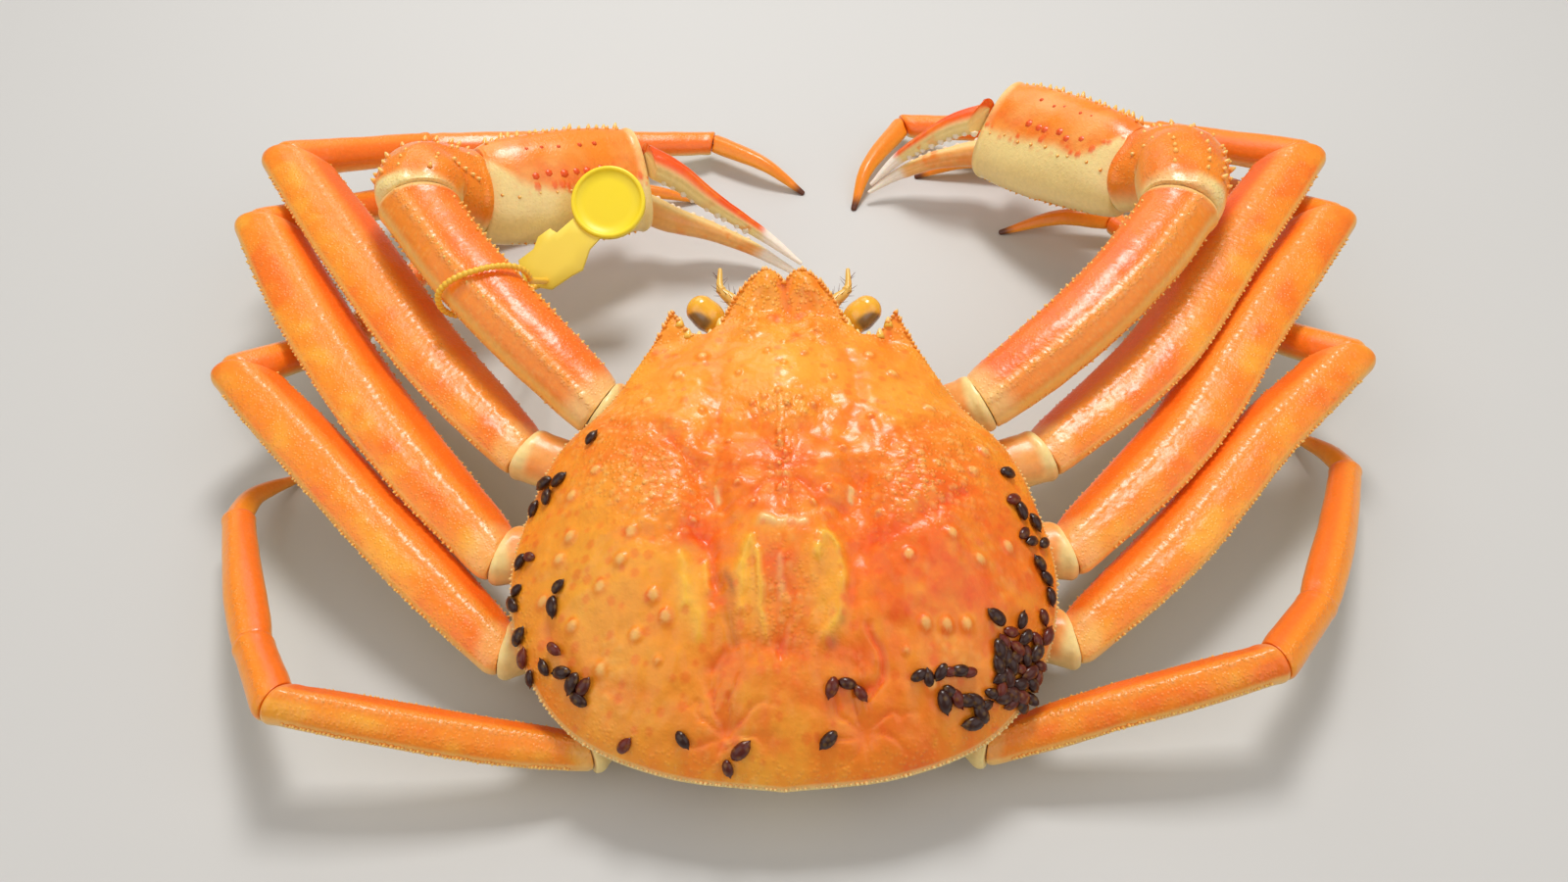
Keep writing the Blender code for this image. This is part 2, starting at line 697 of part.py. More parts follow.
def keep_largest(mesh):
    """Removes every closed surface but the one with the largest box."""
    bm = bmesh.new()
    bm.from_mesh(mesh)
    left = set(bm.verts)
    islands = []
    while left:
        island = {left.pop()}
        edge_of_island = list(island)
        while edge_of_island:
            vert = edge_of_island.pop()
            for edge in vert.link_edges:
                other = edge.other_vert(vert)
                if other in left:
                    left.discard(other)
                    island.add(other)
                    edge_of_island.append(other)
        corners = np.array([vert.co for vert in island])
        islands.append((float(np.prod(np.ptp(corners, axis=0))), island))
    largest = max(islands, key=lambda entry: entry[0])[1]
    bmesh.ops.delete(bm, geom=[vert for vert in bm.verts if vert not in largest], context="VERTS")
    bm.to_mesh(mesh)
    bm.free()


def margin_height(y):
    return MARGIN_HEIGHT + MARGIN_SLOPE * y + MARGIN_CURVE * y**2


def flank_height(y):
    """Height of the level but tilted underside of the carapace over the leg bases."""
    return FLANK_HEIGHT + FLANK_SLOPE * y


def carapace_outline():
    """The whole outline, anticlockwise from the notch of the rostrum over the left side."""
    side = smooth_curve(SIDE_CURVE, SIDE_POINTS)[1:]
    right = list(FRONT_CORNERS) + [tuple(point) for point in side]
    left = [(-x, y) for x, y in right[1:-1]]
    return np.array([right[0]] + left + [right[-1]] + right[-2:0:-1])


def swelling(x, y):
    """Sum of the bell-shaped swellings and grooves, each with its mirror image."""
    total = 0.0
    for (centre_x, centre_y), (spread_x, spread_y), height in SWELLINGS:
        for side in (1, -1) if centre_x else (1,):
            across = (x - side * centre_x) / spread_x
            along = (y - centre_y) / spread_y
            total += height * math.exp(-(across**2) - along**2)
    return total


def ease(value):
    """0 below 0, 1 above 1, and a smooth rise between."""
    value = min(1.0, max(0.0, value))
    return value * value * (3 - 2 * value)


def dome_edge():
    """Distance of the dome's edge from the middle, as angles from straight ahead and distances."""
    edge = np.vstack([DOME_FRONT, smooth_curve(SIDE_CURVE, 3 * SIDE_POINTS)[8:]])
    return np.arctan2(edge[:, 0], edge[:, 1]), np.hypot(edge[:, 0], edge[:, 1])


def dome_reach(x, y, edge):
    """0 in the middle of the dome, 1 on its edge and beyond."""
    return min(1.0, math.hypot(x, y) / np.interp(math.atan2(abs(x), y), *edge))


def dome_height(x, y, edge):
    """Height of the carapace: the tilted margin, a dome that falls gently in front, and the swellings."""
    reach = dome_reach(x, y, edge)
    ahead = ease((math.cos(math.atan2(abs(x), y)) - FRONT_FROM) / FRONT_SPAN)
    power, fullness = (a + (b - a) * ahead for a, b in zip(SIDE_FALL, FRONT_FALL))
    rise = DOME_HEIGHT * (1 - reach**power) ** fullness
    return margin_height(y) + rise + swelling(x, y) * (1 - reach**4)


def dome_spine(x, y, edge, size):
    """A spine or tubercle that stands square on the dome."""
    height = dome_height(x, y, edge)
    slope_x = (dome_height(x + SLOPE_STEP, y, edge) - height) / SLOPE_STEP
    slope_y = (dome_height(x, y + SLOPE_STEP, edge) - height) / SLOPE_STEP
    return spine(vector((x, y, height)), (-slope_x, -slope_y, 1.0), *size)


def tubercle_places(edge):
    """Places and sizes of the named tubercles and of the scattered ones, for the right half."""
    placed = [(place, PEARL_SIZE) for place in PEARLS]
    placed += [(place, GASTRIC_SIZE) for place in GASTRIC + CARDIAC]
    (x_low, x_high), (y_low, y_high) = SCATTER_BOX
    for _ in range(SCATTER_TRIES):
        x, y = RNG.uniform(x_low, x_high), RNG.uniform(y_low, y_high)
        clear = all(math.hypot(x - px, y - py) > SCATTER_SPACE for (px, py), _ in placed)
        if clear and dome_reach(x, y, edge) < SCATTER_REACH:
            placed.append(((x, y), SCATTER_SIZE))
    return placed


def margin_granules():
    """Places on the rim along the round side of the right half, and the level outward direction at each."""
    curve = smooth_curve(SIDE_CURVE, MARGIN_GRANULES)
    along = np.gradient(curve, axis=0)
    found = []
    for (x, y), (along_x, along_y) in zip(curve[:-1], along):
        found.append((vector((x, y, margin_height(y) - RIM_THICKNESS / 2)), unit((-along_y, along_x, 0.0))))
    return found


def make_head_block():
    """The front of the head: eyes, antennae and mouthparts grow from its flat faces."""
    left = [(-x, y) for x, y in HEAD_HALF[1:-1]]
    outline = list(HEAD_HALF) + left[::-1]
    top = [(x, y, margin_height(y) - HEAD_SINK) for x, y in outline]
    bottom = [(x, y, mouth_height(y)) for x, y in outline]
    bm = bmesh.new()
    bridge(bm, [bottom, top])
    return closed_object("head_block", bm)


def make_carapace():
    outline = carapace_outline()
    edge = dome_edge()
    top = []
    for reach in DOME_RINGS:
        ring = []
        for x, y in outline:
            smooth = np.interp(math.atan2(abs(x), y), *edge) / math.hypot(x, y)
            scale = reach * (smooth + (1 - smooth) * ease((reach - CORNERS_FROM) / (1 - CORNERS_FROM)))
            ring.append((x * scale, y * scale, dome_height(x * scale, y * scale, edge)))
        top.append(ring)
    rim = [(x * RIM_INSET, y * RIM_INSET, margin_height(y) - RIM_THICKNESS) for x, y in outline]
    flank = [(x * FLANK_REACH, y * FLANK_REACH, flank_height(y * FLANK_REACH)) for x, y in outline]
    bm = bmesh.new()
    bridge(
        bm,
        [flank, rim] + top,
        first_pole=(0.0, 0.0, flank_height(0.0)),
        last_pole=(0.0, 0.0, dome_height(0.0, 0.0, edge)),
    )
    grown = [make_head_block()]
    for (x, y), size in tubercle_places(edge):
        for side in (1, -1) if x else (1,):
            grown.append(dome_spine(side * x, y, edge, size))
    for side in (1, -1):
        grown.append(dome_spine(side * ORBIT_LOBE[0], ORBIT_LOBE[1], edge, LOBE_SIZE))
        for point, outward in margin_granules():
            flip = vector((side, 1, 1))
            radius, height = MARGIN_GRANULE_SIZE
            height *= RNG.uniform(*SIZE_SPREAD)
            grown.append(spine(point * flip, outward * flip, radius, height))
    return add_node("carapace", bm, SHELL["carapace"], grown=grown)


def belly_height(y):
    """Underside of the breastplate: level over the abdomen, then rising to the mouth."""
    return BELLY_CLEARANCE + MOUTH_SLOPE * max(0.0, y - MOUTH_START)


def mouth_height(y):
    """The plane that the mouthparts lie against, under the breastplate's front and the head."""
    inner = STERNUM_HALF[0][1] * BELLY_SHARE
    outer = STERNUM_HALF[0][1]
    low = belly_height(inner)
    high = belly_height(outer) + WALL_FOOT
    return low + (high - low) * (y - inner) / (outer - inner)


def make_sternum():
    left = [(-x, y) for x, y in STERNUM_HALF]
    outline = left + list(reversed(STERNUM_HALF))
    top = [(x, y, flank_height(y) - SKIN_GAP) for x, y in outline]
    foot = [(x, y, belly_height(y) + WALL_FOOT) for x, y in outline]
    belly = [(x * BELLY_SHARE, y * BELLY_SHARE, belly_height(y * BELLY_SHARE)) for x, y in outline]
    bm = bmesh.new()
    bridge(
        bm,
        [belly, foot, top],
        first_pole=(0.0, 0.0, belly_height(0.0)),
        last_pole=(0.0, 0.0, flank_height(0.0) - SKIN_GAP),
    )
    return add_node("sternum", bm, SHELL["pale"])


def make_abdomen():
    """Rings parted by shallow grooves, then the root, cut off flush with the carapace above it."""
    level = ABDOMEN_THICKNESS / 2
    knots = [(y, half_width, 1.0) for y, half_width in ABDOMEN_STEPS[:1]]
    for (y0, width0), (y1, width1) in zip(ABDOMEN_STEPS, ABDOMEN_STEPS[1:]):
        for share, grooved in ABDOMEN_RING:
            depth = 1.0 - grooved * ABDOMEN_GROOVE / level
            knots.append((y0 + (y1 - y0) * share, width0 + (width1 - width0) * share, depth))
    loops = []
    for y, half_width, depth in knots:
        low = level - level * depth
        loop = []
        for x, z in ABDOMEN_SECTION:
            loop.append((x * half_width - math.copysign(low, x), y, level + z * level * depth))
        loops.append(loop)
    for y, z, half_width, lean in ABDOMEN_ROOT:
        up = vector((0.0, math.sin(lean), math.cos(lean)))
        loops.append([vector((x * half_width, y, z)) + up * level * rise for x, rise in ABDOMEN_SECTION])
    bm = bmesh.new()
    bridge(bm, loops)
    rear = FLANK_REACH * SIDE_CURVE[-1][1]
    rim = SIDE_CURVE[-1][1]
    rise = margin_height(rim) - RIM_THICKNESS - flank_height(rear)
    normal = unit((0.0, rise, rear - rim))
    trim(bm, vector((0.0, rear, flank_height(rear))) - normal * SKIN_GAP, normal)
    return add_node("abdomen", bm, SHELL["pale"])


def wall_of(limb, side):
    """Middle and outward normal of the breastplate wall that carries a limb, 0 for the claw."""
    near = vector(STERNUM_HALF[FIRST_LIMB_WALL + limb])
    far = vector(STERNUM_HALF[FIRST_LIMB_WALL + limb + 1])
    middle = (near + far) / 2
    along = unit(far - near)
    normal = vector((-along[1], along[0]))
    point = vector((side * middle[0], middle[1], ROOT_HEIGHTS[limb]))
    return point, vector((side * normal[0], normal[1], 0.0))


def scaled(profile, size):
    return tuple(value * size for value in profile)


def make_base(name, limb, side, joints, sizes):
    """Coxa and ischium in one: from the wall of the breastplate to the root of the merus."""
    point, normal = wall_of(limb, side)
    root = point + normal * BASE_STAND_OFF
    path = (root - normal * BASE_START, root + normal * BASE_STRAIGHT, joints["base"])
    widths = scaled(BASE_PROFILE, sizes[0])
    heights = scaled(BASE_PROFILE, sizes[1])
    bm = segment_mesh(stations(path, widths, heights, LEG_FACE, side, FRAMES["base"]))
    trim(bm, point + normal * SKIN_GAP, -normal)
    trim_to_joints(bm, end=joint_plane(root, joints["base"], joints["merus"][0]))
    return add_node(name, bm, SHELL["pale"])


def make_walking_leg(side_name, side, number, joints):
    name = f"leg_{side_name}_{number}"
    sizes = LEG_SIZES[number - 1]
    root, _ = wall_of(number, side)
    base_joint = joint_plane(root, joints["base"], joints["merus"][0])
    knee_joint = joint_plane(joints["merus"][-1], joints["knee"], joints["carpus"])
    carpus_joint = joint_plane(joints["knee"], joints["carpus"], joints["ankle"])
    ankle_joint = joint_plane(joints["carpus"], joints["ankle"], joints["bend"])
    make_base(name + "_base", number, side, joints, BASE_SIZES[number])

    path = (joints["base"], *joints["merus"], joints["knee"])
    widths = scaled(MERUS_PROFILE, sizes["merus"][0])
    heights = scaled(MERUS_THICKENING, sizes["merus"][1])
    limb = stations(path, widths, heights, vector(MERUS_FACE) * (side, 1, 1), side, FRAMES["merus"])
    merus = segment_mesh(limb)
    trim_to_joints(merus, base_joint, knee_joint)
    rows = [(turn, SPINULE_COUNT, *SPINULE_SIZE) for turn in (0, 180)]
    add_node(name + "_merus", merus, SHELL["limb"], grown=spine_rows(limb, rows))

    widths = scaled(CARPUS_PROFILE, sizes["carpus"][0])
    heights = scaled(CARPUS_PROFILE, sizes["carpus"][1])
    limb = stations((joints["knee"], joints["carpus"]), widths, heights, LEG_FACE, side, FRAMES["carpus"])
    carpus = segment_mesh(limb, SIDES["slim"])
    trim_to_joints(carpus, knee_joint, carpus_joint)
    add_node(name + "_carpus", carpus, SHELL["limb"])

    path = [joints[key] for key in ("carpus", "propodus", "ankle") if key in joints]
    widths = scaled(PROPODUS_PROFILE, sizes["propodus"][0])
    heights = scaled(PROPODUS_PROFILE, sizes["propodus"][1])
    limb = stations(path, widths, heights, LEG_FACE, side, FRAMES["propodus"])
    propodus = segment_mesh(limb, SIDES["slim"])
    trim_to_joints(propodus, carpus_joint, ankle_joint)
    add_node(name + "_propodus", propodus, SHELL["limb"])

    path = (joints["ankle"], joints["bend"], joints["tip"])
    widths = scaled(DACTYL_PROFILE, DACTYL[0])
    heights = scaled(DACTYL_PROFILE, DACTYL[1])
    limb = stations(path, widths, heights, LEG_FACE, side, FRAMES["dactyl"])
    dactyl = segment_mesh(limb, SIDES["dactyl"])
    trim_to_joints(dactyl, ankle_joint)
    trim(dactyl, (0, 0, FLOOR), (0, 0, -1))
    add_node(name + "_dactyl", dactyl, FINGER_COLOUR)


def make_claw(side_name, side, joints):
    name = f"claw_{side_name}"
    root, _ = wall_of(0, side)
    base_joint = joint_plane(root, joints["base"], joints["merus"][0])
    knee_joint = joint_plane(joints["merus"][-1], joints["knee"], joints["carpus"])
    wrist_joint = joint_plane(joints["carpus"], joints["wrist"], joints["hinge"])
    make_base(name + "_base", 0, side, joints, BASE_SIZES[0])

    path = (joints["base"], *joints["merus"], joints["knee"])
    widths = scaled(CLAW_MERUS_PROFILE, CLAW_MERUS[0])
    heights = scaled(CLAW_MERUS_PROFILE, CLAW_MERUS[1])
    limb = stations(path, widths, heights, LEG_FACE, side, FRAMES["merus"])
    merus = segment_mesh(limb)
    trim_to_joints(merus, base_joint, knee_joint)
    bare = (BAND_SHARE - BAND_BARE, BAND_SHARE + BAND_BARE) if side == TAG_SIDE else NOWHERE
    add_node(name + "_merus", merus, SHELL["limb"], grown=spine_rows(limb, MERUS_SPINE_ROWS, bare=bare))
    if side == TAG_SIDE:
        make_tag(limb)

    widths = scaled(CLAW_CARPUS_PROFILE, CLAW_CARPUS[0])
    heights = scaled(CLAW_CARPUS_PROFILE, CLAW_CARPUS[1])
    path = (joints["knee"], joints["carpus"], joints["wrist"])
    limb = stations(path, widths, heights, LEG_FACE, side, FRAMES["claw_carpus"])
    carpus = segment_mesh(limb, dome=DOMES["claw_carpus"])
    trim_to_joints(carpus, knee_joint, wrist_joint)
    grown = spine_rows(limb, CARPUS_SPINE_ROWS, CARPUS_SPINE_SPAN)
    add_node(name + "_carpus", carpus, SHELL["limb"], grown=grown)

    hinge = vector(joints["hinge"])
    along = unit(hinge - vector(joints["wrist"]))
    face = joints["face"]
    path = (joints["wrist"], hinge)
    limb = stations(path, PALM_HALF_HEIGHTS, PALM_HALF_THICKNESSES, face, side, FRAMES["palm"])
    palm = segment_mesh(limb, SIDES["palm"], DOMES["palm"])
    trim_to_joints(palm, wrist_joint)
    trim(palm, hinge, along)
    grown = spine_rows(limb, PALM_SPINE_ROWS)
    start = vector(joints["fixed"][0])
    start = start - along * ((start - hinge) @ along + FINGER_ROOT_SINK)
    path = (start, *joints["fixed"])
    limb = stations(path, FIXED_HALF_HEIGHTS, FIXED_HALF_THICKNESSES, face, side, FRAMES["finger"])
    grown.append(closed_object("fixed_finger", segment_mesh(limb, SIDES["finger"])))
    grown += spine_row(limb, 0, FINGER_TEETH, *FINGER_TOOTH_SIZE, FINGER_TOOTH_SPAN, lean=0.0)
    add_node(name + "_palm", palm, SHELL["limb"], grown=grown)

    path = joints["finger"]
    limb = stations(path, FINGER_HALF_HEIGHTS, FINGER_HALF_THICKNESSES, face, side, FRAMES["finger"])
    finger = segment_mesh(limb, SIDES["finger"])
    trim(finger, hinge + along * SKIN_GAP, -along)
    teeth = spine_row(limb, 180, FINGER_TEETH, *FINGER_TOOTH_SIZE, FINGER_TOOTH_SPAN, lean=0.0)
    add_node(name + "_finger", finger, FINGER_COLOUR, grown=teeth)


def make_head(side_name, side):
    """Eye, antenna and outer mouthpart of one side, each cut flush with the head's flat faces."""
    flip = vector((side, 1, 1))
    front, corner, back = (vector((x, y, 0.0)) for x, y in HEAD_HALF[:3])
    front_normal = unit(np.cross(corner - front, (0, 0, -1)))
    orbit_normal = unit(np.cross(back - corner, (0, 0, -1)))
    for name, path, radii, point, normal, sides, colour in (
        ("eye", EYE_STALK, EYE_RADII, corner, orbit_normal, EYE_SIDES, EYE_COLOUR),
        ("antenna", ANTENNA, ANTENNA_RADII, corner, front_normal, ANTENNA_SIDES, SHELL["pale"]),
    ):
        limb = stations([vector(knot) * flip for knot in path], radii, radii, UPWARDS, side, HEAD_FRAMES)
        bm = segment_mesh(limb, sides, DOMES["head"])
        trim(bm, point * flip + normal * flip * SKIN_GAP, -normal * flip)
        add_node(f"{name}_{side_name}", bm, colour, ROUGHNESS["wet"])

    start, end = MAXILLIPED_LENGTH
    slope = (mouth_height(end) - mouth_height(start)) / (end - start)
    outward = unit((0.0, slope, -1.0))
    path = []
    for y in (start, end):
        point = vector((side * MAXILLIPED_MIDDLE, y, mouth_height(y)))
        path.append(point + outward * MAXILLIPED_STAND_OFF)
    thickness = (MAXILLIPED_HALF_THICKNESS,) * 2
    limb = stations(path, MAXILLIPED_HALF_WIDTHS, thickness, outward, side, MAXILLIPED_FRAMES)
    bm = segment_mesh(limb, SIDES["maxilliped"], DOMES["maxilliped"])
    trim(bm, vector((0.0, start, mouth_height(start))) + outward * SKIN_GAP, -outward)
    add_node(f"maxilliped_{side_name}", bm, SHELL["pale"])


def sheet(outline, face, low, high):
    """A flat closed plate over an outline, between two distances from its plane."""
    bm = bmesh.new()
    bridge(bm, [[point + face * offset for point in outline] for offset in (low, high)])
    return bm


def band_path(limb, hold):
    """Closed centre line of the band: round the limb on its far side, out to the hold, round it and back."""
    centre, tangent, edge, face, width, height = frame_at(limb, BAND_SHARE)
    clear = BAND_CLEARANCE + BAND_RADIUS
    slant = unit(BAND_SLANT)
    wrap = []
    for turn in np.linspace(*BAND_WRAP, BAND_WRAP_POINTS):
        x, y = round_section(math.radians(turn))
        reach = edge * (width + clear) * x + face * (height + clear) * y
        wrap.append(centre + reach - tangent * (reach @ slant) / (tangent @ slant))
    ahead = unit(hold - (wrap[0] + wrap[-1]) / 2)
    apart = wrap[0] - wrap[-1]
    apart = unit(apart - ahead * (apart @ ahead))
    first = hold + apart * BAND_TURN
    last = hold - apart * BAND_TURN
    out = [wrap[-1] + (last - wrap[-1]) * share for share in BAND_RUN]
    back = [wrap[0] + (first - wrap[0]) * share for share in BAND_RUN[::-1]]
    return wrap + out + [last, hold + ahead * BAND_TURN, first] + back


def make_band(limb, hold):
    """A beaded cord: rings that swell and shrink by turns along the band's closed centre line."""
    centres = np.array(band_path(limb, hold))
    tangents = np.roll(centres, -1, axis=0) - np.roll(centres, 1, axis=0)
    tangents /= np.linalg.norm(tangents, axis=1)[:, None]
    middle = centres.mean(axis=0)
    normal = unit(np.linalg.svd(centres - middle)[2][2])
    bm = bmesh.new()
    loops = []
    for i, (centre, tangent) in enumerate(zip(centres, tangents)):
        across = unit(np.cross(tangent, normal))
        other = np.cross(across, tangent)
        radius = BAND_RADIUS + BAND_BEAD * (-1) ** i
        turns = np.arange(BAND_SIDES) * 2 * math.pi / BAND_SIDES
        ring = centre + radius * (np.outer(np.cos(turns), across) + np.outer(np.sin(turns), other))
        loops.append([bm.verts.new(point) for point in ring])
    for near, far in zip(loops, loops[1:] + loops[:1]):
        for i in range(BAND_SIDES):
            j = (i + 1) % BAND_SIDES
            bm.faces.new((near[i], near[j], far[j], far[i]))
    return closed_object("band", bm)


def make_tag(limb):
    """Notched plate, disc with a raised rim and the band that holds them on the limb, in one."""
    face = unit(TAG_FACE)
    along = unit(TAG_AXIS)
    across = np.cross(along, face)
    centre = vector(TAG_DISC_CENTRE)
    disc = []
    for turn in np.arange(TAG_DISC_POINTS) * 2 * math.pi / TAG_DISC_POINTS:
        disc.append(along * math.cos(turn) + across * math.sin(turn))
    plate = [centre + along * u + across * v for u, v in TAG_PLATE]
    rings = []
    rim_width, rim_height = TAG_RIM
    for reach, rise in (
        (TAG_DISC_RADIUS, 0.0),
        (TAG_DISC_RADIUS, TAG_THICKNESS + rim_height),
        (TAG_DISC_RADIUS - rim_width, TAG_THICKNESS + rim_height),
        (TAG_DISC_RADIUS - rim_width, TAG_THICKNESS),
    ):
        rings.append([centre + face * rise + spoke * reach for spoke in disc])
    bm = bmesh.new()
    bridge(bm, rings, first_pole=centre, last_pole=centre + face * TAG_THICKNESS)
    hold = centre + along * BAND_HOLD + face * (TAG_THICKNESS / 2)
    grown = [closed_object("plate", sheet(plate, face, TAG_PLATE_STEP, TAG_THICKNESS - TAG_PLATE_STEP))]
    grown.append(make_band(limb, hold))
    add_node("tag", bm, TAG_COLOUR, ROUGHNESS["plastic"], grown)


for old in list(bpy.data.objects):
    bpy.data.objects.remove(old)

make_carapace()
make_sternum()
make_abdomen()
for side_name, side, claw, legs in (
    ("right", 1, CLAW_RIGHT, LEGS_RIGHT),
    ("left", -1, CLAW_LEFT, LEGS_LEFT),
):
    make_head(side_name, side)
    make_claw(side_name, side, claw)
    for number, joints in enumerate(legs, start=1):
        make_walking_leg(side_name, side, number, joints)
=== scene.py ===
"""A snow crab as a still museum model: the finish of its shell, limbs, head, tag and egg cases.

Every piece is a surface worked out with numpy from the crab's own sizes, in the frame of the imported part: x
to the crab's right, y to its head, z up, the floor at z = 0 and the middle of the carapace over the origin.
Sizes are in metres, and the tables that say so are in millimetres.
"""

import bpy
import numpy as np
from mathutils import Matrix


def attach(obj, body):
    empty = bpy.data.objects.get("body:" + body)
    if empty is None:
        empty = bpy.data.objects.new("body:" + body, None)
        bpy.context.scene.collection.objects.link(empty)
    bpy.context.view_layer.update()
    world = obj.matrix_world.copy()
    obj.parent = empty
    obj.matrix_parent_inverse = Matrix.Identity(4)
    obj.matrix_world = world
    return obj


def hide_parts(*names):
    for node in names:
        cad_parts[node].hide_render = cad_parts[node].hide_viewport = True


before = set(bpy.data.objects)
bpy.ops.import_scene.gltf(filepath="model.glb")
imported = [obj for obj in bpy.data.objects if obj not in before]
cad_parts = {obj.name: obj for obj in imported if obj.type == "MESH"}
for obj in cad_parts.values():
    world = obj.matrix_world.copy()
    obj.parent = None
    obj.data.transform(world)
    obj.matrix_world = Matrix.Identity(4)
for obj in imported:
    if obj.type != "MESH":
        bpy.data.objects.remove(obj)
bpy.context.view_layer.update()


# Camera, floor and light.
# The crab is seen from behind and above, as it lies with its head away. A pale floor carries it, and broad
# soft lamps stand over its head, so that the wet shell keeps its highlights along every ridge.
CAMERA_PLACE = (0.0, -0.195, 0.30585)
CAMERA_TILT = 39.75
LENS_MM = 29.25
SENSOR_MM = 36.0
FLOOR_HALF = 3.0
FLOOR_COLOUR = (0.60, 0.585, 0.56)
WORLD_COLOUR = (1.0, 0.97, 0.93)
WORLD_STRENGTH = 0.30
LAMPS = (
    ("lamp_over_head", (0.05, 0.55, 0.95), (0.0, 0.05, 0.0), 0.28, 6.7),
    ("lamp_behind", (-0.25, 0.85, 0.62), (-0.08, 0.08, 0.0), 0.55, 1.3),
    ("lamp_left", (-0.65, -0.40, 0.72), (0.0, 0.0, 0.0), 1.10, 3.3),
    ("lamp_right", (0.70, -0.35, 0.75), (0.0, 0.05, 0.0), 1.10, 3.2),
)


def aimed(place, target):
    """Turn of a lamp at place that looks at target: its -Z axis lies along the line between them."""
    line = np.subtract(target, place)
    tilt = np.arccos(-line[2] / np.linalg.norm(line))
    return (tilt, 0.0, np.arctan2(line[1], line[0]) - np.pi / 2)


camera = bpy.data.objects.new("camera", bpy.data.cameras.new("camera"))
bpy.context.scene.collection.objects.link(camera)
camera.location = CAMERA_PLACE
camera.rotation_euler = (np.radians(CAMERA_TILT), 0.0, 0.0)
camera.data.lens = LENS_MM
camera.data.sensor_width = SENSOR_MM
camera.data.clip_start = 0.01
bpy.context.scene.camera = camera

for lamp_name, place, target, size, power in LAMPS:
    lamp = bpy.data.objects.new(lamp_name, bpy.data.lights.new(lamp_name, "AREA"))
    bpy.context.scene.collection.objects.link(lamp)
    lamp.location = place
    lamp.rotation_euler = aimed(place, target)
    lamp.data.size = size
    lamp.data.energy = power

world = bpy.data.worlds.new("studio")
world.use_nodes = True
world.node_tree.nodes["Background"].inputs["Color"].default_value = (*WORLD_COLOUR, 1.0)
world.node_tree.nodes["Background"].inputs["Strength"].default_value = WORLD_STRENGTH
bpy.context.scene.world = world
bpy.context.scene.view_settings.view_transform = "Standard"

floor_mesh = bpy.data.meshes.new("floor")
corners = [(x * FLOOR_HALF, y * FLOOR_HALF, 0) for x, y in ((-1, -1), (1, -1), (1, 1), (-1, 1))]
floor_mesh.from_pydata(corners, [], [(0, 1, 2, 3)])
floor = bpy.data.objects.new("floor", floor_mesh)
bpy.context.scene.collection.objects.link(floor)
floor_finish = bpy.data.materials.new("pale_floor")
floor_finish.use_nodes = True
floor_shader = floor_finish.node_tree.nodes["Principled BSDF"]
floor_shader.inputs["Base Color"].default_value = (*FLOOR_COLOUR, 1.0)
floor_shader.inputs["Roughness"].default_value = 0.55
floor_mesh.materials.append(floor_finish)


# Carapace.
# One domed plate of cooked shell, 140 mm wide: swollen gastric, cardiac and branchial regions parted by
# grooves, pearls and grains on them, a forked rostrum, an orbit on each side and a beaded margin. Its edge
# turns under, and the front of the head stands below the rostrum.
MM = 0.001
MARGIN_HEIGHT = 0.0343
MARGIN_SLOPE = 0.289
MARGIN_CURVE = 1.33
RIM_THICKNESS = 0.0020
DOME_HEIGHT = 0.0250
FRONT_CORNERS = MM * np.array((
    (0, 67.5), (2.8, 70.6), (5.6, 71.2), (9.8, 68.2), (14, 63), (16.5, 58), (21, 52.5), (26.2, 53.2),
    (31.2, 59.5),
))
SIDE_CURVE = MM * np.array((
    (31.2, 59.5), (37, 49), (47.5, 34), (60.5, 20.5), (68, 1), (70, -15), (65, -34.5), (51, -52.5),
    (28, -62.2), (0, -65.6),
))
DOME_FRONT = MM * np.array(((0, 60), (16.5, 57), (26.2, 53.2), (37, 49)))
SIDE_FALL = (2.4, 0.8)
FRONT_FALL = (1.6, 1.1)

# Broad swellings and hollows of the right half, in millimetres: place, spread along x and y, height
REGIONS = (
    ((40, -14), (17, 24), 4), ((0, 34), (12, 20), 3), ((0, -20), (10, 12), 3), ((24, 30), (10, 12), 1.5),
    ((19, -6), (4.5, 20), -3), ((14, 12), (10, 4), -2), ((17, -48), (6, 8), -2),
)

# Colours of the cooked shell, as seen in plain daylight
SHELL_ORANGE = (252, 146, 30)
SHELL_RED = (244, 78, 10)
SHELL_YELLOW = (254, 190, 62)
SHELL_CREAM = (248, 214, 140)
SHELL_SCAR = (120, 60, 16)
# Pale tops of pearls and grains; on the pearls it is a painted highlight
SHELL_PEARL = (255, 204, 118)

# Which half a line or spot is on: the right, the left, or both
RIGHT, LEFT, BOTH = 1, -1, 0
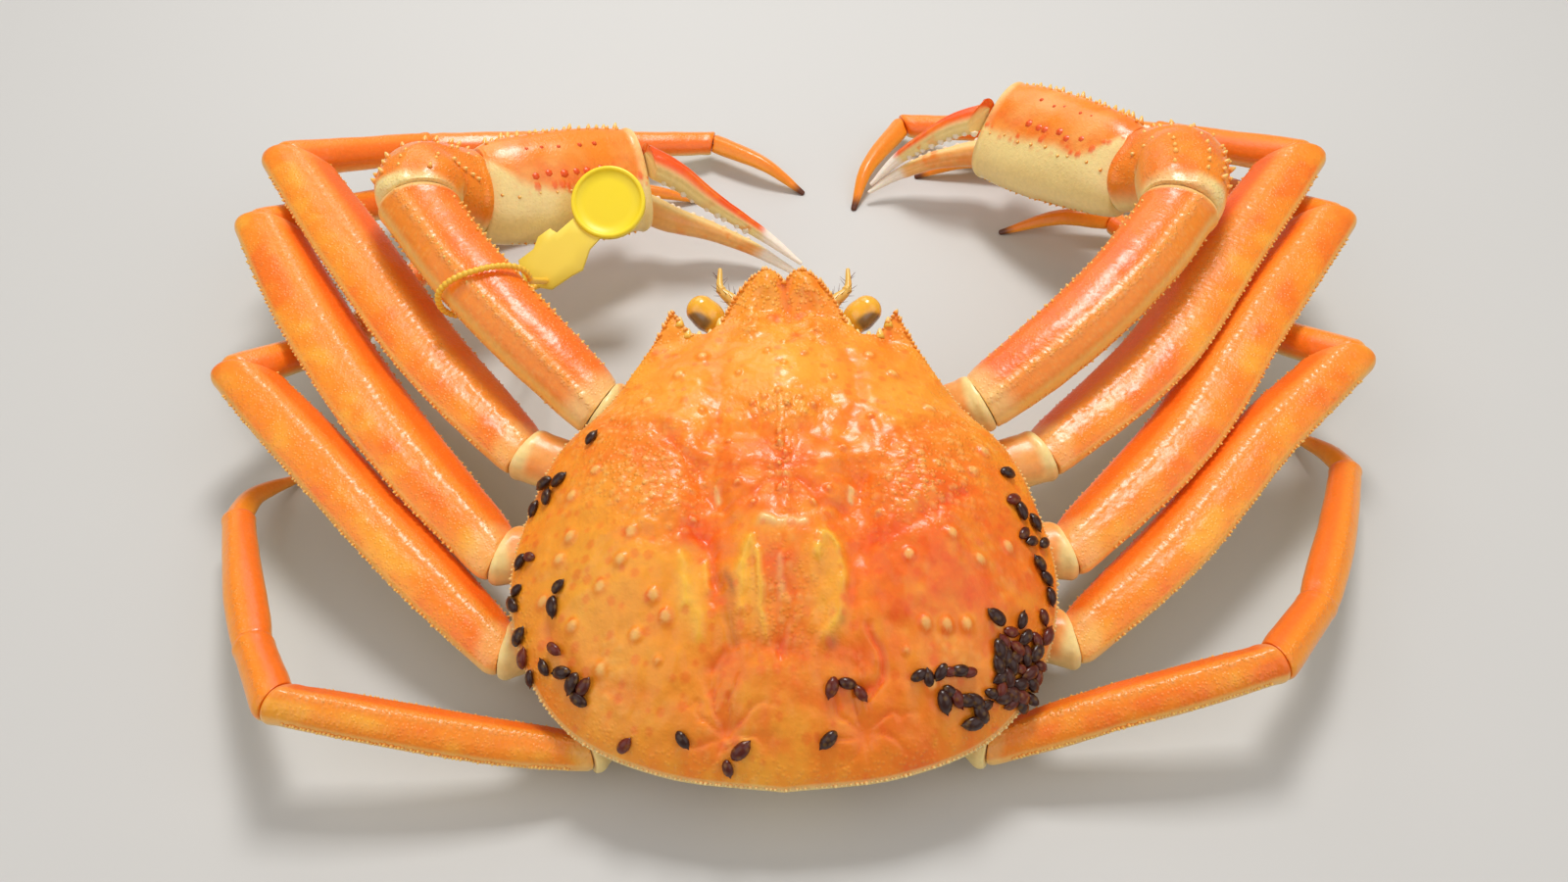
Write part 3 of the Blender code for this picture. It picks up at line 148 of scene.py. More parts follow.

# Grooves and ridges: half, then knots, half width and height in millimetres, colour, its share
# The red along the grooves is partly the shell's own colour and partly painted shade in them
SHELL_LINES = (
    (BOTH, ((47, 22), (33, 14.5), (20.5, 1), (13.5, -11.5)), 2.6, -1.4, SHELL_RED, 0.30),
    (BOTH, ((17.5, 42), (18.5, 28), (16.5, 14), (16, 3)), 2.6, -0.9, SHELL_RED, 0.22),
    (BOTH, ((28, 50), (33, 34), (40, 24)), 3, -0.6, SHELL_RED, 0.12),
    (BOTH, ((8.8, 50), (8, 58), (6.2, 65.5), (4.6, 70.5)), 3.4, 3, SHELL_ORANGE, 0.0),
    (BOTH, ((0, 54), (0, 67.5)), 1.6, -1, SHELL_RED, 0.45),
    (BOTH, ((0, 15), (0, 2), (0, -9)), 1.8, 0.9, SHELL_YELLOW, 0.10),
    (BOTH, ((3.5, -2), (8.5, -6), (14, -9)), 1.2, -0.6, SHELL_RED, 0.45),
    (BOTH, ((0, -13.5), (5, -12.8)), 1.1, 0.9, SHELL_CREAM, 0.75),
    (BOTH, ((16, -6.2), (16.6, -2.4)), 0.6, 0.6, SHELL_CREAM, 0.95),
    (LEFT, ((-10.8, -31), (-10, -21.5), (-8, -17.2)), 1.2, 1.1, SHELL_YELLOW, 0.85),
    (LEFT, ((-8, -17.2), (-6.2, -22), (-5.8, -30), (-4.6, -39)), 1, 1, SHELL_YELLOW, 0.75),
    (RIGHT, ((8.2, -21.5), (10, -16), (12.4, -18), (13.6, -26)), 1.1, 1.1, SHELL_YELLOW, 0.85),
    (RIGHT, ((13.6, -26), (12.8, -33), (9.6, -37.5)), 1.5, 1, SHELL_YELLOW, 0.75),
    (LEFT, ((-24.5, -20.5), (-24.2, -26), (-23.2, -30)), 1.7, 1.2, SHELL_YELLOW, 0.95),
    (LEFT, ((-21, -32.5), (-20.2, -36.5)), 1.2, 0.9, SHELL_YELLOW, 0.90),
    (LEFT, ((-18.5, -21.5), (-17.8, -27.5)), 1, 0.7, SHELL_YELLOW, 0.80),
    (LEFT, ((-15, -25), (-13.8, -33), (-12, -39)), 1.2, -1, SHELL_SCAR, 0.25),
    (BOTH, ((0, -22.5), (0, -29)), 0.8, 0.6, SHELL_CREAM, 0.45),
    (BOTH, ((20, -15), (16, -18.5), (16.5, -29)), 2, -1.2, SHELL_RED, 0.55),
    (RIGHT, ((26, -15), (35, -9), (45, -0.5)), 2.2, -0.9, SHELL_RED, 0.65),
    (LEFT, ((-20, -13), (-29, -16), (-40, -14)), 2.2, -0.7, SHELL_RED, 0.20),
    (LEFT, ((-16, -41.5), (0, -40), (19.5, -41.5)), 3, -1, SHELL_RED, 0.45),
    (RIGHT, ((-16, -41.5), (0, -40), (19.5, -41.5)), 3, -1, SHELL_RED, 0.45),
    (RIGHT, ((20.5, -34.5), (23.8, -42), (23, -45.5), (18, -48.5)), 0.9, -1.2, SHELL_RED, 0.60),
    (LEFT, ((-15, -40), (-18.5, -45.5), (-16.5, -50), (-13.8, -55)), 1.2, -1, SHELL_RED, 0.35),
    (LEFT, ((-59, -30), (-48, -42), (-33, -49)), 1.8, -0.5, SHELL_RED, 0.20),
)

# Patches of colour: half, place and spread in millimetres, turn in degrees, colour, share
SHELL_PATCHES = (
    (BOTH, (0, 36), (17, 14), 0, SHELL_YELLOW, 0.50),
    (BOTH, (34, 28), (12, 10), 0, SHELL_YELLOW, 0.40),
    (LEFT, (-46, -20), (20, 24), 0, SHELL_YELLOW, 0.40),
    (LEFT, (-30, -52), (16, 10), 0, SHELL_YELLOW, 0.30),
    (BOTH, (34, 0), (15, 11), 25, SHELL_RED, 0.34),
    (BOTH, (0, 3), (13, 15), 0, SHELL_RED, 0.48),
    (BOTH, (0, -24), (5.5, 12), 0, SHELL_RED, 0.75),
    (RIGHT, (10.8, -25.5), (2.6, 8.5), 0, SHELL_YELLOW, 0.62),
    (LEFT, (-8.5, -25.5), (1.6, 8.5), 8, SHELL_YELLOW, 0.70),
    (LEFT, (-22.2, -28), (3.4, 8.5), 0, SHELL_YELLOW, 0.60),
    (BOTH, (22, -15), (6, 5), 0, SHELL_RED, 0.75),
    (RIGHT, (36, -24), (20, 20), 0, SHELL_RED, 0.46),
    (RIGHT, (27, -29), (4, 9), 0, SHELL_RED, 0.40),
    (BOTH, (0, -47), (17, 6), 0, SHELL_RED, 0.32),
    (BOTH, (10, -56), (30, 10), 0, SHELL_RED, 0.22),
    (RIGHT, (11.5, -38.5), (2.2, 1.6), 0, SHELL_SCAR, 0.55),
    (RIGHT, (13.5, -33.5), (1.2, 1.4), 0, SHELL_SCAR, 0.60),
    (LEFT, (-12.8, -26.2), (0.8, 3), 10, SHELL_SCAR, 0.60),
    (BOTH, (3.2, 57), (1.6, 2.4), 0, SHELL_RED, 0.70),
    (RIGHT, (3.2, 47.3), (2.2, 2.2), 0, SHELL_RED, 0.70),
)

# Rough ground: half, place and spread in millimetres, turn in degrees, share of full roughness
ROUGH_PLACES = (
    (BOTH, (34, 1), (15, 11), 25, 1.0), (BOTH, (0, 21.5), (10, 4.5), 0, 1.0),
    (BOTH, (0, 4), (4, 11), 0, 0.9), (BOTH, (8, 56), (8, 12), 0, 0.8), (BOTH, (46, 22), (12, 12), 0, 0.7),
    (BOTH, (0, -30), (10, 12), 0, 0.5),
)
PEARLS = MM * np.array((
    (-53.4, -10.5), (-56, -15), (-44.5, -25.2), (-37.2, -14.2), (-39.5, -20.5), (-31.2, -29),
    (-28.2, -33.5), (-35.5, -36.5), (-51.5, -31.8), (-60, -23.5), (33.8, -34.3), (39, -34), (44, -33),
    (52, -31), (48, -18), (56, -12), (30, -20), (41, -14), (48, 6), (52, 14), (-48, 6), (-54, 1), (-28, 35),
    (29, 36), (-36, 28), (38, 25), (-22, 42), (23, 43), (-44, -42), (35, -46),
))
SMALL_PEARLS = MM * np.array((
    (0, 44), (-4.5, 40), (5.5, 39.5), (0, 34.5), (-1.2, 11.4), (-1.2, 8), (0.4, 5), (-1.2, 2), (0.2, -1),
    (-1, -4.5), (-11.5, -2.5), (-7.5, -8), (11, -4), (7.2, -7.8), (-5, 22.5), (4, 22), (-1.5, 24),
    (7.5, 20.5), (-8, 21), (1, 19), (-14, 10), (15, 8), (-21, 20), (22, 18), (-12, 33), (13, 32),
    (-30, -42), (29, -40), (-22, -11), (23, -9),
))
PEARL_RADIUS, SMALL_PEARL_RADIUS = 0.0019, 0.0011
PEARL_HEIGHT = 0.0011
PINCHES = MM * np.array(((-13.8, -56), (19.5, -55.5)))
PINCH_SPREAD = 0.0085
CREASE_DEPTH = 0.0017
WARP_SIZE = 0.008
WARP = 0.0018
GRAIN_CELL = 0.0021
DOT_CELL = 0.0031
OUTLINE_STEPS = 640
DOME_STEPS = 126


def daylight(colour):
    """The shader's linear colour for one given as 0 to 255 on a screen: the screen curve undone."""
    share = np.asarray(colour, float) / 255
    return np.where(share <= 0.04045, share / 12.92, ((share + 0.055) / 1.055) ** 2.4)


def hashed(*cells):
    """Repeatable numbers from 0 to 1 for whole cells: the far digits of the sine of their weighted sum."""
    total = sum(cell * weight for cell, weight in zip(cells, (127.1, 311.7, 74.7, 53.3)))
    return np.modf(np.abs(np.sin(total) * 43758.5453))[0]


def mottle(points, size, seed=0.0):
    """Smooth noise from -1 to 1: random values at the corners of cubes of that size, eased between them."""
    at = points / size
    low = np.floor(at)
    t = at - low
    t = t * t * (3 - 2 * t)
    total = 0.0
    for corner in np.ndindex(2, 2, 2):
        weight = np.prod(np.where(np.array(corner, bool), t, 1 - t), axis=-1)
        total = total + weight * hashed(*np.moveaxis(low + corner, -1, 0), seed)
    return total * 2 - 1


def clouds(points, size, seed=0.0):
    """Three sizes of noise in one, each half as large and half as strong as the last."""
    return sum(mottle(points, size / 2**k, seed + k) / 2**k for k in range(3)) / 1.75


def grains(along, across, period, seed, fullness=1.0):
    """Rounded grains from 0 to 1, one in each cell of a square net, off centre and of mixed size.

    A grain is the upper half of a ball; across wraps round at the period.
    """
    row, column = np.floor(along), np.floor(across)
    height = np.zeros(np.broadcast(along, across).shape)
    for step_a, step_b in np.ndindex(3, 3):
        cell_a = row + step_a - 1
        cell_b = column + step_b - 1
        wrapped = np.mod(cell_b, period)
        size = 0.25 + 0.25 * hashed(cell_a, wrapped, seed, 1.0)
        off_a = along - cell_a - 0.25 - 0.5 * hashed(cell_a, wrapped, seed, 2.0)
        off_b = across - cell_b - 0.25 - 0.5 * hashed(cell_a, wrapped, seed, 3.0)
        shown = hashed(cell_a, wrapped, seed, 4.0) < fullness
        ball = np.sqrt(np.clip(1 - (off_a**2 + off_b**2) / size**2, 0, 1))
        height = np.maximum(height, ball * size * 2 * shown)
    return height


def ease(value, low=0.0, high=1.0):
    """0 below low, 1 above high, and a smooth rise between."""
    t = np.clip((value - low) / (high - low), 0, 1)
    return t * t * (3 - 2 * t)


def bell(x, y, place, spread, turn=0.0):
    """1 at a place given in millimetres, falling by exp(-r^2) over its spread along two turned axes."""
    angle = np.radians(turn)
    off_x, off_y = x / MM - place[0], y / MM - place[1]
    u = off_x * np.cos(angle) + off_y * np.sin(angle)
    v = off_y * np.cos(angle) - off_x * np.sin(angle)
    return np.exp(-((u / spread[0]) ** 2) - (v / spread[1]) ** 2)


def painted(ground, *layers):
    """A ground colour turned towards each layer's colour in its order, by the layer's share at each point."""
    colours = daylight(ground)
    for colour, share in layers:
        colours = colours + (daylight(colour) - colours) * np.clip(share, 0, 1)[..., None]
    return colours


def run_along(points):
    """Length of a line from its start to each of its points."""
    return np.concatenate([[0], np.cumsum(np.linalg.norm(np.diff(points, axis=0), axis=1))])


def closed_line(corners, steps):
    """Points at even steps along the closed line through the corners, and the length run to each."""
    closed = np.vstack([corners, corners[:1]])
    run = run_along(closed)
    at = np.linspace(0, run[-1], steps, endpoint=False)
    return np.stack([np.interp(at, run, column) for column in closed.T], -1), at


def smooth_curve(knots, steps):
    """Points at the given shares of the chord length on the Catmull-Rom curve through the knots."""
    knots = np.asarray(knots, float)
    run = run_along(knots)
    padded = np.vstack([2 * knots[0] - knots[1], knots, 2 * knots[-1] - knots[-2]])
    at = np.asarray(steps) * run[-1]
    piece = np.clip(np.searchsorted(run, at, side="right") - 1, 0, len(knots) - 2)
    t = ((at - run[piece]) / (run[piece + 1] - run[piece]))[:, None]
    a, b, c, d = (padded[piece + k] for k in range(4))
    return 0.5 * (2 * b + (c - a) * t + (2 * a - 5 * b + 4 * c - d) * t**2 + (3 * b - a - 3 * c + d) * t**3)


def near_line(x, y, knots, width):
    """1 on the smooth line through knots in millimetres, falling by exp(-r^2) over the width beside it."""
    line = smooth_curve(MM * np.array(knots), np.linspace(0, 1, 6 * len(knots)))
    gap = np.full(x.shape, np.inf)
    for start, step in zip(line[:-1], np.diff(line, axis=0)):
        off_x, off_y = x - start[0], y - start[1]
        along = np.clip((off_x * step[0] + off_y * step[1]) / (step @ step), 0, 1)
        gap = np.minimum(gap, (off_x - along * step[0]) ** 2 + (off_y - along * step[1]) ** 2)
    return np.exp(-gap / (MM * width) ** 2)


def on_half(x, half):
    """The x to measure a feature with, and how much of it shows: one half of the shell, or both alike."""
    return (np.abs(x), 1.0) if half == BOTH else (x, ease(x * half, -0.002, 0.0))


def margin_height(y):
    """Height of the shell's margin: rising to the front, more so towards the rostrum."""
    return MARGIN_HEIGHT + MARGIN_SLOPE * y + MARGIN_CURVE * y**2


def dome_edge(turn):
    """Distance of the dome's edge from the middle at an angle from straight ahead."""
    edge = np.vstack([DOME_FRONT, smooth_curve(SIDE_CURVE, np.linspace(0, 1, 60))[8:]])
    return np.interp(turn, np.arctan2(np.abs(edge[:, 0]), edge[:, 1]), np.hypot(edge[:, 0], edge[:, 1]))


def dome_reach(x, y):
    """0 in the middle of the dome, 1 on its edge and beyond."""
    return np.minimum(1.0, np.hypot(x, y) / dome_edge(np.arctan2(np.abs(x), y)))


def dome_height(x, y):
    """Height of the smooth shell: the tilted margin, the dome, and the regions on it."""
    reach = dome_reach(x, y)
    ahead = ease(2 * np.cos(np.arctan2(np.abs(x), y)) - 0.8)
    power, fullness = (a + (b - a) * ahead for a, b in zip(SIDE_FALL, FRONT_FALL))
    rise = DOME_HEIGHT * (1 - reach**power) ** fullness
    swell = sum(MM * height * bell(np.abs(x), y, place, spread) for place, spread, height in REGIONS)
    return margin_height(y) + rise + swell * (1 - reach**4)


def pearls_at(x, y, places, radius):
    """Rounded tubercles of one radius: a steep bell over each place."""
    height = np.zeros_like(x)
    for place_x, place_y in places:
        gap = ((x - place_x) ** 2 + (y - place_y) ** 2) / radius**2
        height = np.maximum(height, np.exp(-1.6 * gap**1.5))
    return height


def creases(x, y):
    """Creases round two pits behind: narrow rays, (1 - |sin|)^3 of a bent turn, that fade outwards."""
    total = np.zeros_like(x)
    bend = clouds(np.stack([x, y, 0 * x], -1), 0.005, 71.0)
    for place_x, place_y in PINCHES:
        far = np.hypot(x - place_x, y - place_y) / PINCH_SPREAD
        turn = np.arctan2(y - place_y, x - place_x)
        rays = (1 - np.abs(np.sin(4.5 * turn + 0.8 * far + 1.6 * bend))) ** 3
        total += np.exp(-(far**2) * 7) + 1.6 * rays * far * np.exp(-(far**2) * 1.1)
    return total


def skin(grid, start_pole=None, end_pole=None):
    """Points, quads and triangles of a closed surface: rows of points, each a ring, ended by poles."""
    rows, columns = grid.shape[:2]
    points = grid.reshape(-1, 3)
    ring = np.arange(columns)
    after = (ring + 1) % columns
    first = np.arange(rows - 1)[:, None] * columns
    quads = np.stack([first + ring, first + after, first + columns + after, first + columns + ring], -1)
    triangles = []
    for pole, row in ((start_pole, 0), (end_pole, rows - 1)):
        if pole is not None:
            top = np.full(columns, len(points))
            points = np.vstack([points, pole])
            start = row * columns
            fan = [start + ring, start + after, top]
            triangles.append(np.stack(fan if row else fan[::-1], -1))
    triangles = np.concatenate(triangles) if triangles else np.empty((0, 3), int)
    return points, quads.reshape(-1, 4), triangles


def skin_part(grid, colours, grit=0.0, start_pole=None, end_pole=None):
    """Closed part of a piece from rings of points, with a colour and a share of grit at each point."""
    start_pole = grid[0].mean(axis=0) if start_pole is None else start_pole
    end_pole = grid[-1].mean(axis=0) if end_pole is None else end_pole
    points, quads, triangles = skin(grid, start_pole, end_pole)
    shade = np.concatenate([np.broadcast_to(colours, grid.shape), np.zeros((*grid.shape[:2], 1))], axis=-1)
    shade[..., 3] = grit
    shade = np.concatenate([shade.reshape(-1, 4), shade[0, :1], shade[-1, :1]])
    return points, quads, triangles, shade


def outwards(points, quads, triangles):
    """The same faces, turned over when the volume that they close is negative."""
    a, b, c, d = (points[quads[:, k]] for k in range(4))
    volume = (a * np.cross(b, c)).sum() + (a * np.cross(c, d)).sum()
    if len(triangles):
        a, b, c = (points[triangles[:, k]] for k in range(3))
        volume += (a * np.cross(b, c)).sum()
    return (quads[:, ::-1], triangles[:, ::-1]) if volume < 0 else (quads, triangles)


def add_piece(name, parts, finish, slot, *nodes):
    """One mesh object from parts of (points, quads, triangles, shades), which stands for CAD nodes."""
    start = 0
    all_points, all_quads, all_triangles, all_shades = [], [], [], []
    for points, quads, triangles, shades in parts:
        quads, triangles = outwards(points, quads, triangles)
        all_points.append(points)
        all_shades.append(np.broadcast_to(shades, (len(points), 4)))
        all_quads.append(quads + start)
        all_triangles.append(triangles + start)
        start += len(points)
    points, quads, triangles = (np.concatenate(rows) for rows in (all_points, all_quads, all_triangles))
    shades = np.concatenate(all_shades)
    counts = np.concatenate([np.full(len(quads), 4), np.full(len(triangles), 3)]).astype(np.int32)
    mesh = bpy.data.meshes.new(name)
    mesh.vertices.add(len(points))
    mesh.vertices.foreach_set("co", points.astype(np.float32).ravel())
    mesh.loops.add(int(counts.sum()))
    loops = np.concatenate([quads.ravel(), triangles.ravel()])
    mesh.loops.foreach_set("vertex_index", loops.astype(np.int32))
    mesh.polygons.add(len(counts))
    mesh.polygons.foreach_set("loop_start", (np.cumsum(counts) - counts).astype(np.int32))
    mesh.update(calc_edges=True)
    mesh.shade_smooth()
    tint = mesh.color_attributes.new("tint", "FLOAT_COLOR", "POINT")
    tint.data.foreach_set("color", shades.astype(np.float32).ravel())
    mesh.materials.append(finish)
    piece = bpy.data.objects.new(name, mesh)
    bpy.context.scene.collection.objects.link(piece)
    if nodes:
        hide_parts(*nodes)
    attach(piece, "root")
    return piece


def add_node(finish, kind, inputs, **settings):
    """A shader node with its settings and its inputs, each a value or the output of another node."""
    node = finish.node_tree.nodes.new("ShaderNode" + kind)
    for key, value in settings.items():
        setattr(node, key, value)
    connect(finish, node, inputs)
    return node.outputs


def connect(finish, node, inputs):
    """Sets or links the inputs of a node."""
    for key, value in inputs.items():
        if isinstance(value, bpy.types.NodeSocket):
            finish.node_tree.links.new(value, node.inputs[key])
        else:
            node.inputs[key].default_value = value


def tinted_finish(name):
    """A material with its main shader, the outputs of the piece's tint, and places in Object coordinates."""
    finish = bpy.data.materials.new(name)
    finish.use_nodes = True
    tint = add_node(finish, "VertexColor", {}, layer_name="tint")
    place = add_node(finish, "TexCoord", {})["Object"]
    return finish, finish.node_tree.nodes["Principled BSDF"], tint, place


def shell_finish(name, roughness, coat, grit_size, grit_height, glow=0.10):
    """Cooked shell: the piece's tint with faint specks, granules where its fourth value asks, a wet coat.

    A granule is a smooth step down with the distance from a Voronoi cell's point. Its height times the fourth
    value gives the bump, with low noise waves added, and its top is tinted yellow as a painted highlight.
    """
    finish, shader, tint, place = tinted_finish(name)
    cells = add_node(finish, "TexVoronoi", {"Vector": place, "Scale": 1 / grit_size})["Distance"]
    steps = {"Value": cells, "From Min": 0.10, "From Max": 0.52, "To Min": 1.0, "To Max": 0.0}
    granules = add_node(finish, "MapRange", steps, interpolation_type="SMOOTHSTEP")["Result"]
    grit = add_node(finish, "Math", {0: granules, 1: tint["Alpha"]}, operation="MULTIPLY")["Value"]
    noise = {"Vector": place, "Scale": 1 / (grit_size * 1.5), "Detail": 4.0}
    specks = add_node(finish, "TexNoise", noise)["Fac"]
    steps = {"Value": specks, "From Min": 0.3, "From Max": 0.7, "To Min": 0.95, "To Max": 1.04}
    shade = add_node(finish, "MapRange", steps)["Result"]
    layers = {"Factor": 1.0, "A": tint["Color"], "B": shade}
    speckled = add_node(finish, "Mix", layers, data_type="RGBA", blend_type="MULTIPLY")["Result"]
    # Granule tops tinted towards yellow: a painted highlight
    painted_highlight = add_node(finish, "Math", {0: grit, 1: 0.30}, operation="MULTIPLY")["Value"]
    layers = {"Factor": painted_highlight, "A": speckled, "B": (*daylight(SHELL_YELLOW), 1.0)}
    tipped = add_node(finish, "Mix", layers, data_type="RGBA")["Result"]
    wear = {"Value": specks, "To Min": roughness - 0.08, "To Max": roughness + 0.10}
    height = add_node(finish, "Math", {0: specks, 1: 0.60, 2: grit}, operation="MULTIPLY_ADD")["Value"]
    bump = {"Strength": 0.8, "Distance": grit_height, "Height": height}
    surface = {
        "Base Color": tipped,
        "Roughness": add_node(finish, "MapRange", wear)["Result"],
        "Normal": add_node(finish, "Bump", bump)["Normal"],
        "Subsurface Weight": glow,
        "Subsurface Radius": (0.003, 0.0010, 0.0003),
        "Subsurface Scale": 1.0,
        "Coat Weight": coat,
        "Coat Roughness": 0.22,
        "Specular IOR Level": 0.35,
    }
    connect(finish, shader, surface)
    return finish


def shell_outline(steps):
    """The whole outline as a closed ring from the rostrum's notch over the left side, evenly spaced."""
    side = smooth_curve(SIDE_CURVE, np.linspace(0, 1, 200))[1:]
    right = np.vstack([FRONT_CORNERS, side])
    left = right[1:-1] * (-1, 1)
    return closed_line(np.vstack([right[:1], left, right[-1:], right[-2:0:-1]]), steps)


outline, outline_run = shell_outline(OUTLINE_STEPS)
reaches = 1 - (1 - np.linspace(0.008, 1.0, DOME_STEPS)) ** 1.2
turns = np.arctan2(np.abs(outline[:, 0]), outline[:, 1])
round_share = dome_edge(turns) / np.hypot(outline[:, 0], outline[:, 1])
scale = reaches[:, None] * (round_share + (1 - round_share) * ease(reaches, 0.6, 1.0)[:, None])
shell_x, shell_y = scale * outline[:, 0], scale * outline[:, 1]
reach = dome_reach(shell_x, shell_y)
inner = 1 - (reaches**30)[:, None]
flat_places = np.stack([shell_x, shell_y, 0 * shell_x], -1)
bent_x = shell_x + WARP * clouds(flat_places, WARP_SIZE, 41.0)
bent_y = shell_y + WARP * clouds(flat_places, WARP_SIZE, 47.0)

wide, fine = clouds(flat_places, 0.020, 3.0), clouds(flat_places, 0.0045, 81.0)
layers = [
    (SHELL_RED, 0.40 * ease(wide, 0.0, 0.7)),
    (SHELL_YELLOW, 0.40 * ease(-wide, 0.0, 0.7)),
    (SHELL_RED, 0.28 * ease(fine, 0.05, 0.7)),
    (SHELL_YELLOW, 0.30 * ease(-fine, 0.05, 0.7)),
]
for half, place, spread, turn, colour, strength in SHELL_PATCHES:
    side_x, shown = on_half(bent_x, half)
    patch = bell(side_x, bent_y, place, spread, turn) * shown
    layers.append((colour, strength * patch * (1 + 0.5 * wide + 0.7 * fine)))
lines = np.zeros_like(shell_x)
broken = 0.35 + 0.65 * ease(clouds(flat_places, 0.006, 61.0), -0.4, 0.4)
for half, knots, width, height, colour, strength in SHELL_LINES:
    side_x, shown = on_half(bent_x, half)
    line = near_line(side_x, bent_y, knots, width) * shown
    lines += MM * height * line * broken
    # The red along the grooves is partly painted shade
    layers.append((colour, strength * line * (0.3 + 0.9 * broken)))
rough = sum(
    strength * bell(on_half(bent_x, half)[0], bent_y, place, spread, turn)
    for half, place, spread, turn, strength in ROUGH_PLACES
)
rough = np.clip(rough, 0, 1)
pearls = pearls_at(shell_x, shell_y, PEARLS, PEARL_RADIUS)
small_pearls = 0.8 * pearls_at(shell_x, shell_y, SMALL_PEARLS, SMALL_PEARL_RADIUS)
knobs = np.maximum(pearls, small_pearls)
grain = grains(shell_x / GRAIN_CELL + 60, shell_y / GRAIN_CELL + 60, 400, 5.0, 0.55)
grain *= np.maximum(rough, 0.35 * ease(clouds(flat_places, 0.014, 21.0), 0.0, 0.5))
dots = grains(shell_x / DOT_CELL + 60, shell_y / DOT_CELL + 60, 400, 17.0, 0.45)
dots = ease(dots, 0.45, 0.75) * (1 - rough)
creased = creases(shell_x, shell_y) * (1 - reach**12)
rim = ease(reach, 0.994, 0.999) * ease(0.050 - shell_y, 0.0, 0.02)
layers += [
    # Red dots of the shell's own, and a red ring round each pearl's foot that is painted shade
    (SHELL_RED, 0.35 * dots + 0.5 * knobs * (1 - knobs) * 2),
    (SHELL_RED, 0.22 * rough * (1 - grain)),
    # Pale pearl tops, a painted highlight, and pale tops on the grains
    (SHELL_PEARL, 0.6 * ease(knobs, 0.5, 0.9) + 0.55 * grain),
    # The creases and the two pits behind are painted redder: painted shade in them
    (SHELL_RED, 0.38 * creased),
    (SHELL_CREAM, 0.75 * rim),
]
shell_colours = painted(SHELL_ORANGE, *layers)
shell_grit = np.clip(0.10 + 0.9 * rough + 0.5 * ease(reach, 0.90, 0.99), 0, 1)

shell_z = dome_height(shell_x, shell_y)
shell_z += (lines - CREASE_DEPTH * creased) * inner
shell_z += (PEARL_HEIGHT * knobs + 0.0006 * grain) * inner * (1 - reach**30)
shell_z += (0.0007 * clouds(flat_places, 0.009, 31.0) + 0.00035 * mottle(flat_places, 0.0032, 35.0)) * inner

# Edge turned under to the flank: share of the outline, stand-off, drop below the margin
EDGE_ROWS = ((1.0, 0.0002, -0.0006), (1.0, 0.0002, -0.0012), (0.995, 0.0, -0.0020))
FLANK_ROWS = (0.94, 0.85, 0.76, 0.66)
FLANK_HEIGHT = 0.0260
FLANK_SLOPE = 0.230
MOUTH_LOW, MOUTH_SLOPE, MOUTH_START = 0.0045, 0.72, 0.018
MOUTH_SPAN = (0.035, 0.050)
WALL_FOOT = 0.003
HEAD_HALF = MM * np.array(((0, 63.5), (11.5, 62.5), (21.5, 49), (21.5, 47.2), (12.1, 50.3), (0, 50.3)))
HEAD_ROWS = 24
HEAD_SINK = 0.0026
HEAD_MIDDLE = (0, 0.056)
MARGIN_BEAD_STEP = 0.0012
MARGIN_BEAD = (0.0005, 0.0006)
FRONT_BEAD = (0.0006, 0.0010)
ORBIT_TEETH = MM * np.array(((17.8, 56.2), (20.4, 53.2), (23.5, 52.7), (26.6, 53.5), (29, 56.6)))
ORBIT_TOOTH = (0.0012, 0.0022)

# Rings of a spine: share of its height, share of its radius
SPINE_STEPS = ((-0.5, 1.2), (0.0, 1.0), (0.45, 0.70), (0.85, 0.35))


def unit(values):
    """Vectors of length 1 the same way."""
    values = np.asarray(values, float)
    return values / np.linalg.norm(values, axis=-1, keepdims=True)


def belly_height(y):
    """Underside of the body: level behind, then rising to the mouth."""
    return MOUTH_LOW + MOUTH_SLOPE * np.maximum(0.0, np.asarray(y) - MOUTH_START)


def mouth_height(y):
    """The plane that the mouthparts lie on, from the breastplate to the head."""
    low, high = belly_height(MOUTH_SPAN[0]), belly_height(MOUTH_SPAN[1]) + WALL_FOOT
    return low + (high - low) * (y - MOUTH_SPAN[0]) / (MOUTH_SPAN[1] - MOUTH_SPAN[0])


def copies(grids, ends, shades):
    """Many small closed skins as one part: each has its own rings of points, and one pole at either end."""
    count = len(grids)
    _, quads, triangles = skin(grids[0], *ends[0])
    points = np.concatenate([grids.reshape(count, -1, 3), ends], axis=1)
    offset = (np.arange(count) * points.shape[1])[:, None, None]
    shades = np.broadcast_to(shades, (*points.shape[:2], 4)).reshape(-1, 4)
    return points.reshape(-1, 3), (quads + offset).reshape(-1, 4), (triangles + offset).reshape(-1, 3), shades


def spines(places, outward, radii, heights, low, high, sides=6):
    """Small closed cones that narrow to a blunt tip, all in one part, coloured from root to tip."""
    places, outward = np.broadcast_arrays(places, unit(outward))
    count = len(places)
    radii, heights = np.broadcast_to(radii, count), np.broadcast_to(heights, count)
    aside = unit(np.cross(outward, (0.31, 0.52, 0.79)))
    other = np.cross(outward, aside)
    turn = np.arange(sides) * 2 * np.pi / sides
    ring = aside[:, None] * np.cos(turn)[:, None] + other[:, None] * np.sin(turn)[:, None]
    rows = []
    for rise, reach in SPINE_STEPS:
        stem = places[:, None] + outward[:, None] * (heights * rise)[:, None, None]
        rows.append(stem + ring * (radii * reach)[:, None, None])
    ends = np.stack([places - outward * heights[:, None] * 0.5, places + outward * heights[:, None]], axis=1)
    share = np.concatenate([np.repeat([0.0, 0.1, 0.7, 1.0], sides), [0.0, 1.0]])
    return copies(np.stack(rows, axis=1), ends, np.column_stack([painted(low, (high, share)), 0 * share]))


